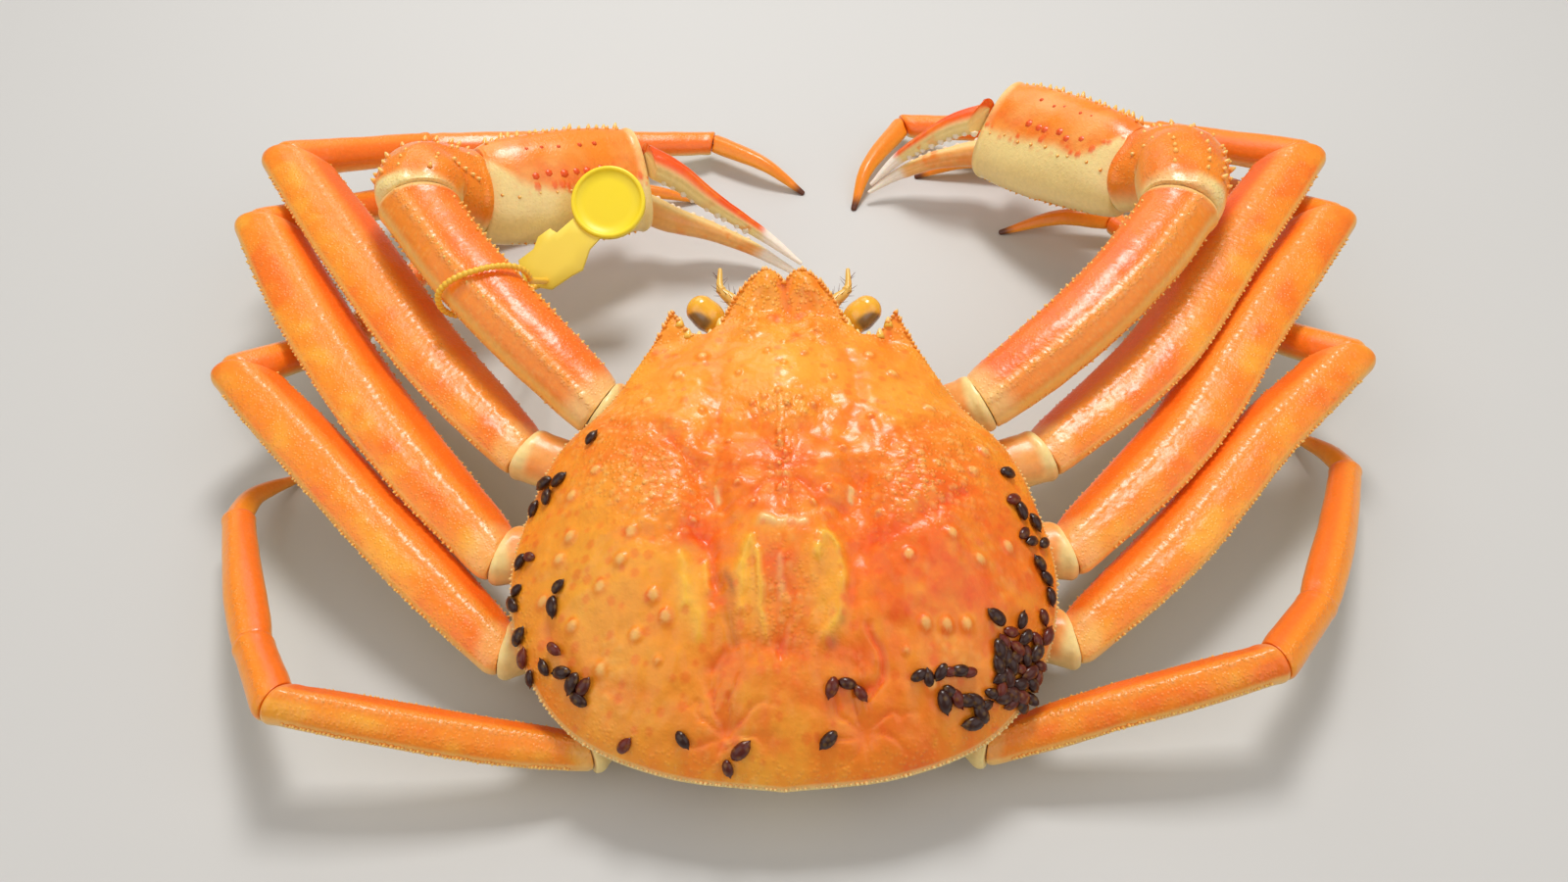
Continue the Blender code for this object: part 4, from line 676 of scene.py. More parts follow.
outward = outline / np.hypot(outline[:, 0], outline[:, 1])[:, None]
under_rows = []
for share, stand, drop in EDGE_ROWS:
    ring = outline * share + outward * stand
    under_rows.append(np.column_stack([ring, margin_height(outline[:, 1]) + drop]))
for share in FLANK_ROWS:
    along = (share - FLANK_ROWS[-1]) / (EDGE_ROWS[-1][0] - FLANK_ROWS[-1])
    low = FLANK_HEIGHT + FLANK_SLOPE * FLANK_ROWS[-1] * outline[:, 1]
    high = margin_height(outline[:, 1]) - RIM_THICKNESS
    under_rows.append(np.column_stack([outline * share, low + (high - low) * along]))
grid = np.concatenate([np.stack([shell_x, shell_y, shell_z], -1), np.array(under_rows)])
under_colours = np.broadcast_to(daylight(SHELL_CREAM), (len(under_rows), OUTLINE_STEPS, 3))
colours = np.concatenate([shell_colours, under_colours])
grit = np.concatenate([shell_grit, np.full((len(under_rows), OUTLINE_STEPS), 0.5)])
parts = [skin_part(grid, colours, grit, (0, 0, float(shell_z[0].mean())), (0, 0, FLANK_HEIGHT))]

# Beads along the margin, larger on the rostrum and round the orbits
number = np.arange(int(outline_run[-1] / MARGIN_BEAD_STEP))
at = (number + 0.4 * hashed(number, 7.0)) * MARGIN_BEAD_STEP
bead_x, bead_y = np.interp(at, outline_run, outline[:, 0]), np.interp(at, outline_run, outline[:, 1])
bead_places = np.stack([bead_x, bead_y, margin_height(bead_y) - 0.0002], -1)
bead_ways = unit(np.stack([bead_x, bead_y, 0.3 * np.hypot(bead_x, bead_y)], -1))
ahead = ease(bead_y, 0.050, 0.058)
bead_size = 0.6 + 0.8 * hashed(number, 8.0)
radii, heights = ((low + (high - low) * ahead) * bead_size for low, high in zip(MARGIN_BEAD, FRONT_BEAD))
parts.append(spines(bead_places, bead_ways, radii, heights, SHELL_ORANGE, SHELL_CREAM))

# Pale teeth in the notch of each orbit
teeth_x, teeth_y = np.array([(side * x, y) for x, y in ORBIT_TEETH for side in (1, -1)]).T
teeth_places = np.stack([teeth_x, teeth_y, margin_height(teeth_y) - 0.0006], -1)
parts.append(spines(teeth_places, (0.0, 1.0, 0.5), *ORBIT_TOOTH, SHELL_YELLOW, SHELL_CREAM, sides=10))

# Front of the head, down to the mouth
head_outline, _ = closed_line([*HEAD_HALF, *((-x, y) for x, y in HEAD_HALF[-2:0:-1])], 180)
head_share = np.linspace(0, 1, HEAD_ROWS)[:, None]
head_low = mouth_height(head_outline[:, 1])
head_high = margin_height(head_outline[:, 1]) - HEAD_SINK
head_z = head_low + (head_high - head_low) * head_share
head_swell = 1 - 0.03 * (2 * head_share - 1) ** 6
head_xy = (head_outline - HEAD_MIDDLE) * head_swell[..., None] + HEAD_MIDDLE
grid = np.concatenate([head_xy, head_z[..., None]], axis=-1)
colours = painted(SHELL_CREAM, (SHELL_ORANGE, 0.7 * ease(clouds(grid, 0.008, 2.0))))
parts.append(skin_part(grid, colours, 0.4))
carapace_finish = shell_finish("cooked_carapace", 0.36, 0.30, 0.0013, 0.00034)
add_piece("carapace_shell", parts, carapace_finish, "carapace_shell", "carapace")


# Egg cases.
# Dark glossy cases of another small animal, stuck singly and in clusters on the shell's sides and behind,
# each a drop about 5 mm long. They stand on the shell along the camera's lines through these photo pixels.
PHOTO_SIZE = (1600, 900)
EGG_PIXELS = (
    (605, 448), (572, 491), (558, 495), (560, 508), (547, 520), (533, 574), (542, 569), (529, 603),
    (526, 617), (532, 650), (536, 672), (571, 599), (566, 619), (567, 662), (543, 692), (557, 681),
    (575, 686), (586, 697), (597, 701), (592, 713), (848, 701), (864, 697), (878, 707), (845, 754),
    (756, 765), (743, 783), (697, 754), (638, 760), (1026, 484), (1032, 511), (1040, 522), (1054, 534),
    (1043, 545), (1051, 553), (1063, 555), (1059, 576), (1066, 591), (1070, 609), (1063, 630), (1066, 649),
    (1015, 630), (1041, 633), (1030, 645), (992, 737),
)
EGG_CLUSTERS = (((1038, 684), (27, 38), 20), ((968, 687), (30, 9), -6), ((984, 716), (27, 11), 8))
EGG_CLUSTER_STEP = 11.0
EGG_HALF_SIZES = (0.0026, 0.0016, 0.0012)
EGG_SPREAD = 0.35
EGG_ENDS = ((-1.0, 0.55), (1.22, 0.75))
EGG_SIDES, EGG_ROWS = 10, 7
NEAREST_SHELL = 0.15
SHELL_REACH = 0.085
BESIDE_SHELL = 0.02
SLOPE_STEP = 0.0005
EGG_BROWN = (50, 16, 6)
EGG_RED = (112, 30, 10)


def on_shell(pixels):
    """Points of the smooth shell at photo pixels: each line is followed by 0.6 of the height still left."""
    tilt = np.radians(CAMERA_TILT)
    up, ahead = np.array((0, np.cos(tilt), np.sin(tilt))), np.array((0, np.sin(tilt), -np.cos(tilt)))
    focal = LENS_MM / SENSOR_MM * PHOTO_SIZE[0]
    off = (np.asarray(pixels, float) - np.divide(PHOTO_SIZE, 2)) / focal
    ways = ahead + off[:, :1] * (1, 0, 0) - off[:, 1:] * up
    far = np.full(len(ways), NEAREST_SHELL)
    for _ in range(60):
        x, y, z = (CAMERA_PLACE + ways * far[:, None]).T
        far += 0.6 * (z - np.where(np.hypot(x, y) < SHELL_REACH, dome_height(x, y), BESIDE_SHELL))
    return CAMERA_PLACE + ways * far[:, None]


egg_pixels = [EGG_PIXELS]
for middle, halves, turn in EGG_CLUSTERS:
    steps = np.array(list(np.ndindex(9, 9))) - 4.0
    steps += 0.5 * np.stack([hashed(*steps.T, 1.0), hashed(*steps.T, 2.0)], -1) - 0.25
    steps[:, 0] += 0.5 * (np.round(steps[:, 1]) % 2)
    steps = steps[np.hypot(*(steps * EGG_CLUSTER_STEP / halves).T) < 1.05] * EGG_CLUSTER_STEP
    angle = np.radians(turn)
    egg_pixels.append(steps @ [[np.cos(angle), np.sin(angle)], [-np.sin(angle), np.cos(angle)]] + middle)
egg_pixels = np.vstack(egg_pixels)
egg_places = on_shell(egg_pixels)
number = np.arange(len(egg_places))
egg_x, egg_y = egg_places[:, :2].T
slope_x, slope_y = (
    (dome_height(egg_x + dx, egg_y + dy) - dome_height(egg_x - dx, egg_y - dy)) / (2 * SLOPE_STEP)
    for dx, dy in ((SLOPE_STEP, 0), (0, SLOPE_STEP))
)
egg_up = unit(np.stack([-slope_x, -slope_y, 1 + 0 * slope_x], -1))
egg_turn = 2 * np.pi * hashed(number, 3.0)
egg_long = unit(np.cross(np.stack([np.cos(egg_turn), np.sin(egg_turn), 0 * egg_turn], -1), egg_up))
egg_side = np.cross(egg_up, egg_long)
egg_size = (1 - EGG_SPREAD / 2 + EGG_SPREAD * hashed(number, 4.0))[:, None, None]
row_angle = np.linspace(-78, 74, EGG_ROWS)
ring_turn = np.arange(EGG_SIDES) * 2 * np.pi / EGG_SIDES
axes = zip((egg_long, egg_side, egg_up), EGG_HALF_SIZES)
long_way, side_way, up_way = (axis[:, None] * half * egg_size for axis, half in axes)
ring = side_way * np.cos(ring_turn)[:, None] + up_way * (1 + np.sin(ring_turn))[:, None] * 0.9
eggs = []
for angle in np.radians(row_angle):
    middle = egg_places[:, None] + long_way * np.sin(angle) + up_way * (1 - np.cos(angle)) * 0.5
    eggs.append(middle + ring * np.cos(angle))
eggs = np.stack(eggs, axis=1)
egg_ends = egg_places[:, None] + np.concatenate([long_way * a + up_way * b for a, b in EGG_ENDS], axis=1)
shades = painted(EGG_BROWN, (EGG_RED, 0.8 * ease(hashed(number, 9.0), 0.6, 1.0)))
shades = np.column_stack([shades, 0.3 + 0 * egg_x])[:, None]
egg_finish = shell_finish("egg_case", 0.30, 0.25, 0.0016, 0.00010, glow=0.0)
add_piece("egg_cases", [copies(eggs, egg_ends, shades)], egg_finish, "carapace_shell")


# Breastplate and abdomen.
# The pale plate of shell under the body, with a seam between each pair of legs and walls that carry them, and
# the narrow abdomen of a male, hinged behind and folded on it in seven rings, which the model rests on.
STERNUM_HALF = MM * np.array((
    (12, 50), (26, 45), (37, 31.2), (42.8, 15), (42.9, -2), (36.4, -17.6), (23.6, -30), (13, -40),
))
BELLY_SHARE = 0.70
SKIN_GAP = 0.0003
SEAM_DEPTH = 0.0007
SEAM_HALF_ANGLE = 0.035
ABDOMEN_STEPS = MM * np.array((
    (18, 3), (12.5, 4.8), (5.5, 6.2), (-3, 8.5), (-12.5, 11.2), (-23, 13.5), (-39, 13.5),
))
ABDOMEN_ROOT = np.array((
    (-43, 2, 13.5, 0.0), (-50, 4.2, 13.5, 0.5), (-55, 10, 13.2, 1.1), (-57.5, 21.5, 13, 1.35),
)) * (MM, MM, MM, 1)
ABDOMEN_THICKNESS = 0.0040
ABDOMEN_GROOVE = 0.0007
ABDOMEN_GROOVE_WIDTH = 0.0006
SHELL_PALE = (250, 224, 164)

sternum_outline, _ = closed_line([*((-x, y) for x, y in STERNUM_HALF), *STERNUM_HALF[::-1]], 260)
x, y = sternum_outline.T
corner_turns = np.arctan2(*np.array([*STERNUM_HALF[2:-1], *((-a, b) for a, b in STERNUM_HALF[2:-1])]).T)
apart = np.arctan2(x, y) - corner_turns[:, None]
seams = np.exp(-((np.angle(np.exp(1j * apart)) / SEAM_HALF_ANGLE) ** 2)).sum(axis=0)
rows = []
for share in (0.10, 0.25, 0.40, 0.55, 0.66, BELLY_SHARE):
    low = belly_height(share * y) + SEAM_DEPTH * seams * ease(share, 0.3, 0.6)
    rows.append(np.column_stack([share * x, share * y, low]))
belly, foot = belly_height(BELLY_SHARE * y), belly_height(y) + WALL_FOOT
for share in (0.2, 0.4, 0.6, 0.8, 1.0):
    reach = BELLY_SHARE + (1 - BELLY_SHARE) * share
    rows.append(np.column_stack([reach * x, reach * y, belly + (foot - belly) * share + SEAM_DEPTH * seams]))
top = FLANK_HEIGHT + FLANK_SLOPE * y - SKIN_GAP
for share in (0.3, 0.6, 0.95, 1.0):
    rows.append(np.column_stack([x, y, foot + (top - foot) * share]))
grid = np.array(rows)
colours = painted(SHELL_PALE, (SHELL_ORANGE, 0.35 * ease(clouds(grid, 0.012, 4.0)) + 0.25 * seams))
pale_finish = shell_finish("pale_shell", 0.38, 0.30, 0.0009, 0.00012)
part = skin_part(grid, colours, 0.2, (0, 0, MOUTH_LOW), (0, 0, FLANK_HEIGHT - SKIN_GAP))
add_piece("breastplate", [part], pale_finish, "pale_shell", "sternum")

level = ABDOMEN_THICKNESS / 2
path = np.array([*((y, level, width, 0.0) for y, width in ABDOMEN_STEPS), *ABDOMEN_ROOT])
run = run_along(path[:, :2])
at = np.linspace(0, run[-1], 240)
y, z, width, lean = (np.interp(at, run, column)[:, None] for column in path.T)
joints_near = sum(np.exp(-(((at - joint) / ABDOMEN_GROOVE_WIDTH) ** 2)) for joint in run[1:8])[:, None]
closing = ease(at, -0.0005, 0.0020)[:, None]
turn = np.arange(64) * 2 * np.pi / 64
across = np.sign(np.cos(turn)) * np.abs(np.cos(turn)) ** 0.5
up = np.sign(np.sin(turn)) * np.abs(np.sin(turn)) ** np.where(np.sin(turn) < 0, 0.3, 0.7)
thick = (level - ABDOMEN_GROOVE * joints_near) * closing
beside = (width - ABDOMEN_GROOVE * joints_near) * (0.4 + 0.6 * closing) * across
grid = np.stack([beside, y + thick * up * np.sin(lean), z + thick * up * np.cos(lean)], -1)
rear = FLANK_ROWS[-1] * SIDE_CURVE[-1][1]
flank_point = np.array((0.0, rear, FLANK_HEIGHT + FLANK_SLOPE * rear))
rim_point = np.array((0.0, SIDE_CURVE[-1][1], margin_height(SIDE_CURVE[-1][1]) - RIM_THICKNESS))
flank_normal = unit(np.cross((1, 0, 0), flank_point - rim_point))
above = np.maximum(0, (grid - flank_point) @ flank_normal + SKIN_GAP)
grid = grid - flank_normal * above[..., None]
colours = painted(SHELL_PALE, (SHELL_ORANGE, 0.5 * joints_near))
add_piece("abdomen_rings", [skin_part(grid, colours, 0.15)], pale_finish, "pale_shell", "abdomen")


# Walking legs.
# Long flat legs of cooked shell: a coxa with a pale rim, a broad merus with a beaded ridge and saw-like
# edges, a rounded knee, a slim propodus and a curved toe. They lie on each other like louvres, toes down.
# Joints in millimetres: base, two places on the merus, knee, carpus, ankle, bend of the toe and tip. The
# last leg has one more place, on its propodus. The heights are alike on both sides.
LEGS_RIGHT = (
    (
        (73.5, 32.8), (109.5, 64.3), (138.1, 103.8), (166.5, 141.4), (132.7, 181), (45.4, 209.9),
        (31.3, 186.2), (25.6, 170),
    ),
    (
        (77, 2.8), (112.5, 37.4), (141.9, 78.9), (172, 117.8), (148.7, 161), (87.8, 189.1), (67.9, 190.4),
        (49.9, 188.6),
    ),
    (
        (76, -21.5), (106.9, 5.1), (135.2, 36.2), (165.5, 63.5), (144, 91.1), (116.6, 154.6), (98, 157.4),
        (78.2, 156.9),
    ),
    (
        (51.5, -49.5), (75, -44.3), (98.5, -40), (122.1, -35), (139.1, -15.5), (153, 11.1), (165, 37.9),
        (162.9, 48.1), (156.8, 63),
    ),
)
LEGS_LEFT = (
    (
        (-73.5, 33), (-104.5, 65.5), (-133, 103.5), (-160, 140.4), (-125.2, 174.3), (-26.6, 199),
        (-7.3, 187.4), (6.9, 178.9),
    ),
    (
        (-77, 1), (-109, 35.8), (-138.4, 74.5), (-163.7, 114.6), (-136.6, 153), (-71.5, 172.1),
        (-50.2, 173.3), (-30.8, 174.4),
    ),
    (
        (-73.3, -24.8), (-101.9, 1.5), (-130.4, 29.7), (-158.2, 57), (-136.4, 84.6), (-113.6, 146.8),
        (-97.6, 154.2), (-79.4, 155.4),
    ),
    (
        (-49, -51), (-74, -50.8), (-98.5, -49), (-123.5, -46.3), (-135.2, -27.5), (-146.1, -3),
        (-155.4, 20.3), (-154.4, 31.4), (-146.3, 45),
    ),
)
LEG_HEIGHTS = (
    (26, 34.1, 40.9, 46, 25, 8, 7, 0.5),
    (21, 28.8, 35.2, 40, 18, 7, 6, 0.5),
    (15, 22.8, 29.2, 34, 20, 8, 7, 0.5),
    (11, 17.5, 23.5, 28, 24, 19, 13, 9, 0.5),
)
ROOT_HEIGHTS = (0.0258, 0.0215, 0.0180, 0.0145, 0.0112)
LEG_SIZES = (
    {"merus": (0.0112, 0.0046), "carpus": (0.0064, 0.0048), "propodus": (0.0056, 0.0040)},
    {"merus": (0.0108, 0.0046), "carpus": (0.0062, 0.0048), "propodus": (0.0054, 0.0040)},
    {"merus": (0.0095, 0.0044), "carpus": (0.0058, 0.0045), "propodus": (0.0050, 0.0038)},
    {"merus": (0.0060, 0.0044), "carpus": (0.0052, 0.0045), "propodus": (0.0052, 0.0038)},
)
MERUS_PROFILE = (0.78, 0.95, 1.0, 1.0, 0.97, 0.85)
MERUS_THICKENING = (1.0, 1.0, 1.0, 1.05, 1.1)
CARPUS_PROFILE = (1.1, 1.0, 0.95)
PROPODUS_PROFILE = (1.0, 1.05, 0.95, 0.85)
DACTYL = (0.0040, 0.0030)
BASE_PROFILE = (1.0, 1.0, 0.98)
DACTYL_PROFILE = (1.0, 0.85, 0.6, 0.26)
LEG_FACE = (0.0, -0.15, 1.0)
MERUS_FACE = (-0.26, 0.06, 1.0)
BASE_SIZES = ((0.0085, 0.0078), (0.0078, 0.0062), (0.0078, 0.0062), (0.0074, 0.0060), (0.0062, 0.0052))
SEAM_ROUNDING = 0.0004
RELIEF_FADE = (0.0003, 0.001)
MERUS_GRAIN = 0.0012
MERUS_RINGS = 32

# Rows of spines: turn round the limb in degrees, number, radius, height
MERUS_TEETH = ((0, 74, 0.0005, 0.0006), (180, 74, 0.0005, 0.0006))
MERUS_TOOTHED = (0.06, 0.95)

LEG_RED = (246, 88, 8)
LEG_ORANGE = (252, 140, 28)
# Pale pink of a leg's ridge; on the ridge's beads it is a painted highlight
LEG_PINK = (255, 190, 120)
LEG_EDGE = (254, 208, 110)
LIMB_CREAM = (252, 222, 146)
TOE_TIP = (92, 44, 22)


def profile(values, shares):
    """Smooth values at shares of a length, through the given ones at even steps."""
    knots = np.column_stack([np.linspace(0, 1, len(values)), values])
    return smooth_curve(knots, np.clip(shares, 0, 1))[:, 1]


def limb_table(path, widths, heights, face, side, size=(1, 1)):
    """Frames along a limb's smooth centre line, carried on straight beyond both ends.

    Each row holds the centre, the tangent, the edge direction, which is the outer edge of a leg and the
    upper edge of a palm, the face direction, which looks up, and the half width and half height, both times
    the size.
    """
    inner = np.linspace(0, 1, 161)
    centres = smooth_curve(path, inner)
    slopes = np.gradient(centres, inner, axis=0)
    tangents = unit(slopes)
    edges = unit(np.cross(tangents, face)) * side
    faces = np.cross(edges, tangents) * side
    ends = [0, *range(len(inner)), len(inner) - 1]
    centres = centres[ends]
    centres[0] -= slopes[0] / 2
    centres[-1] += slopes[-1] / 2
    rows = [centres, tangents[ends], edges[ends], faces[ends]]
    for values, scale in zip((widths, heights), size):
        rows.append(profile(np.multiply(values, scale), inner)[ends, None])
    length = np.linalg.norm(np.diff(centres[1:-1], axis=0), axis=1).sum()
    return np.concatenate([[-0.5], inner, [1.5]]), np.concatenate(rows, axis=1), length


def limb_frame(limb, share):
    """Centre, tangent, edge, face, half width and half height at shares of the limb."""
    at, rows, _ = limb
    values = np.stack([np.interp(share, at, column) for column in rows.T], -1)
    return np.split(values, (3, 6, 9, 12, 13), axis=-1)


def section(turn, ridge=2.3, keel=2.3):
    """A superellipse: sharper above where the ridge number is small, and the same below with the keel's."""
    across, up = np.cos(turn), np.sin(turn)
    power = 2 / np.where(up > 0, ridge, keel)
    return np.sign(across) * np.abs(across) ** power, np.sign(up) * np.abs(up) ** power


def limb_point(limb, share, turn, scale=1.0, ridge=2.3, keel=2.3):
    """Point of the skin, and the outward and lengthwise directions there."""
    centre, tangent, edge, face, width, height = limb_frame(limb, share)
    x, y = (value[..., None] for value in section(turn, ridge, keel))
    point = centre + (edge * width * x + face * height * y) * np.asarray(scale)[..., None]
    return point, unit(edge * x / width + face * y / height), tangent


def joint_plane(before, joint, after):
    """A point and normal of the plane that halves the bend between two segments."""
    joint = np.asarray(joint, float)
    return joint, unit(unit(joint - before) + unit(np.asarray(after) - joint))


def raised(grid, height):
    """The grid moved along its own normals, by the cross product of its two directions."""
    along = np.gradient(grid, axis=0)
    across = np.roll(grid, -1, axis=1) - np.roll(grid, 1, axis=1)
    normal = np.cross(along, across)
    normal /= np.maximum(np.linalg.norm(normal, axis=-1, keepdims=True), 1e-12)
    middle = grid.mean(axis=1, keepdims=True)
    turned = np.sign(((grid - middle) * normal).sum(-1).mean())
    return grid + normal * height[..., None] * turned


def limb_part(grid, relief_height, inside, colours, grit):
    """A segment with its relief, which eases out at a joint so that the face there stays flat."""
    return skin_part(raised(grid, relief_height * ease(inside, *RELIEF_FADE)), colours, grit)


def segment(limb, rows, columns, start=None, end=None, domes=(0.75, 0.75), neck=0.94, lip=1.04, **shape):
    """Grid of a limb segment with the share, the turn and the distance from the nearest joint of its points.

    Both ends are domes, whose rings shrink as the cosine of an angle and stand out as its sine. What lies
    past a joint's plane is laid flat on it, by a soft step that leaves a rounded edge. The skin narrows
    towards the joint that it starts from, and widens to a lip round the joint that it ends at.
    """
    turn = np.arange(columns) * 2 * np.pi / columns
    angle = np.radians(np.linspace(86, 6, 14))
    near, far = (float(limb_frame(limb, np.array(end_share))[4][0]) / limb[2] for end_share in (0.0, 1.0))
    first, last = -near * domes[0] * np.sin(angle), 1 + far * domes[1] * np.sin(angle[::-1])
    scale = np.concatenate([np.cos(angle), np.ones(rows), np.cos(angle[::-1])])[:, None]
    share = np.concatenate([first, np.linspace(0, 1, rows), last])
    share, turn = np.broadcast_arrays(share[:, None], turn)
    scale = np.broadcast_to(scale, share.shape)
    grid = limb_point(limb, share, turn, scale, **shape)[0]
    inside = np.full(share.shape, 1.0)
    for plane, swell, place, run in ((start, neck, 0.0, 0.0030), (end, lip, 0.0016, 0.0013)):
        if plane:
            point, normal = plane
            distance = (grid - point) @ normal * (1 if plane is start else -1)
            scale = scale * (1 + (swell - 1) * np.exp(-(((np.maximum(distance, 0) - place) / run) ** 2)))
            inside = np.minimum(inside, distance)
    grid = limb_point(limb, share, turn, scale, **shape)[0]
    for plane in (start, end):
        if plane:
            point, normal = plane
            normal = normal if plane is start else -normal
            distance = (grid - point) @ normal - SKIN_GAP / 2
            soft = SEAM_ROUNDING * np.logaddexp(0, distance / SEAM_ROUNDING)
            grid = grid + normal * (soft - distance)[..., None]
    return grid, share, turn, inside


def spine_row(limb, turn, count, radius, height, span, seed, low, high, lean=0.3, **shape):
    """Spines at nearly even steps along one line of a limb, of mixed height."""
    number = np.arange(count)
    step = (span[1] - span[0]) / max(count - 1, 1)
    share = span[0] + step * (number + 0.5 * hashed(number, seed) - 0.25)
    turns = np.radians(turn) + 0.10 * (hashed(number, seed + 1) - 0.5)
    places, outward, tangent = limb_point(limb, share, turns, **shape)
    size = 0.65 + 0.7 * hashed(number, seed + 2)
    return spines(places, outward + tangent * lean, radius * np.sqrt(size), height * size, low, high)


def spine_rows(limb, rows, span, seed, step=10, low=LEG_ORANGE, high=LEG_EDGE, **shape):
    """Rows of spines on one limb, each with its own seed, a step on from the last."""
    seeds = seed + step * np.arange(len(rows))
    return [spine_row(limb, *row, span, start, low, high, **shape) for row, start in zip(rows, seeds)]


def wall_of(limb, side):
    """Middle and outward normal of the breastplate's wall that carries a limb, 0 for the claw."""
    near, far = np.array(STERNUM_HALF[limb + 1]), np.array(STERNUM_HALF[limb + 2])
    middle, along = (near + far) / 2, unit(far - near)
    place = np.array((side * middle[0], middle[1], ROOT_HEIGHTS[limb]))
    return place, np.array((-side * along[1], along[0], 0.0))


limb_finish = shell_finish("cooked_limb", 0.32, 0.38, 0.0009, 0.00026)


def base_piece(name, limb_number, side, base, merus, seed):
    """Coxa and ischium: a cream rim at the root, an orange patch on top, a groove where the two meet."""
    point, normal = wall_of(limb_number, side)
    root = point + normal * 0.001
    path = (root - normal * 0.006, root + normal * 0.004, base)
    limb = limb_table(path, BASE_PROFILE, BASE_PROFILE, LEG_FACE, side, BASE_SIZES[limb_number])
    end = joint_plane(root, base, merus)
    grid, share, turn, _ = segment(limb, 70, 84, (point + normal * SKIN_GAP, normal), end, neck=0.97)
    top = ease(np.sin(turn), 0.0, 0.8)
    groove = np.exp(-(((share - 0.62 - 0.04 * np.cos(turn)) / 0.03) ** 2))
    relief_height = -0.0007 * groove + 0.0003 * clouds(grid, 0.004, seed)
    patch = top * ease(share, 0.22, 0.40) * ease(0.97 - share, 0.0, 0.07) * (1 - groove)
    colours = painted(
        LIMB_CREAM,
        (LEG_ORANGE, patch * (0.75 + 0.3 * clouds(grid, 0.006, seed + 3))),
        (LEG_RED, 0.5 * groove * top),
    )
    part = skin_part(raised(grid, relief_height), colours, 0.15)
    add_piece(name, [part], pale_finish, "pale_shell", name)


def merus_piece(name, limb, start, end, seed):
    """The long flat segment: redder in front of the gritty ridge, orange behind it, saw-toothed edges."""
    shape = {"ridge": 1.8, "keel": 2.4}
    grid, share, turn, inside = segment(limb, 300, 96, start, end, **shape)
    across, up = section(turn, **shape)
    upper = ease(up, 0.05, 0.35)
    beads = grains(share * limb[2] / MERUS_GRAIN, turn / (2 * np.pi) * MERUS_RINGS, MERUS_RINGS, seed, 0.6)
    ridge_band = np.exp(-(((across + 0.05) / 0.20) ** 2)) * upper
    outer = ease(across, 0.10, 0.45) * upper
    front = ease(-across, 0.18, 0.55) * upper
    blush = clouds(grid, 0.010, seed + 9)
    hollow = front * ease(-across, 0.3, 0.6) * ease(0.95 + across, 0, 0.25)
    relief_height = 0.00040 * ridge_band - 0.00020 * hollow
    relief_height += beads * (0.00030 * ridge_band + 0.00012 * outer) * ease(inside, 0.001, 0.004)
    relief_height += 0.00030 * clouds(grid, 0.012, seed + 5)
    edge = np.maximum(ease(across, 0.90, 1.0), ease(-across, 0.93, 1.0))
    near_base = 1 - ease(share + 0.02 * np.cos(2 * turn), 0.02, 0.06)
    knee = ease(share, 0.93, 1.0)
    colours = painted(
        LIMB_CREAM,
        (LEG_ORANGE, ease(up, -0.6, 0.05)),
        # The front flank is redder: partly the shell's own colour and partly painted shade under the leg
        # before it
        (LEG_RED, front * (0.70 + 0.25 * blush)),
        (LEG_RED, 0.50 * outer * ease(blush, -0.05, 0.5)),
        (SHELL_YELLOW, 0.50 * outer * ease(-blush, 0.0, 0.6)),
        # A pale pink ridge, with a painted highlight on the tops of its beads
        (LEG_PINK, ridge_band * (0.12 + 0.5 * beads)),
        (LEG_EDGE, 0.6 * edge * ease(up, -0.5, 0.0)),
        (LIMB_CREAM, 0.30 * near_base + 0.30 * knee * ease(-across, 0.0, 0.6)),
    )
    grit = (0.9 * ridge_band + 0.45 * outer + 0.25 * front) * (1 - 0.7 * knee) + 0.05
    parts = [limb_part(grid, relief_height, inside, colours, grit)]
    parts += spine_rows(limb, MERUS_TEETH, MERUS_TOOTHED, seed, 50, **shape)
    add_piece(name, parts, limb_finish, "limb_shell", name)


def slim_piece(name, limb, rows, start, end, seed):
    """Carpus and propodus: redder along the inner side, a glossy ridge whose grains carry painted highlights,
    fine grains.
    """
    shape = {"ridge": 2.0, "keel": 2.3}
    grid, _, turn, inside = segment(limb, rows, 64, start, end, **shape)
    across, up = section(turn, **shape)
    upper = ease(up, 0.0, 0.5)
    ridge_band = np.exp(-(((across - 0.25) / 0.22) ** 2)) * upper
    colours = painted(
        LIMB_CREAM,
        (LEG_ORANGE, ease(up, -0.5, 0.15)),
        (LEG_RED, 0.55 * ease(-across, 0.0, 0.5) * upper),
        (SHELL_YELLOW, 0.35 * ease(across, 0.3, 0.9) * upper),
    )
    relief_height = 0.0003 * ridge_band + 0.00025 * clouds(grid, 0.009, seed + 2)
    part = limb_part(grid, relief_height, inside, colours, 0.6 * ridge_band + 0.15)
    add_piece(name, [part], limb_finish, "limb_shell", name)


def toe_piece(name, limb, start, seed):
    """The toe: ridged along its length, yellow-orange, with a worn dark tip that stands on the floor."""
    grid, share, turn, _ = segment(limb, 90, 40, start, None, ridge=2.0, keel=2.0)
    ridges = np.cos(4 * turn) * 0.00018 * ease(1 - share, 0.0, 0.5)
    colours = painted(
        SHELL_YELLOW,
        (LEG_ORANGE, 0.5 + 0.5 * np.sin(turn)),
        (TOE_TIP, ease(share, 0.86, 0.98)),
    )
    grid = raised(grid, ridges + 0.0001 * clouds(grid, 0.003, seed))
    grid[..., 2] = np.maximum(grid[..., 2], 0.0)
    add_piece(name, [skin_part(grid, colours, 0.1)], limb_finish, "toe_shell", name)


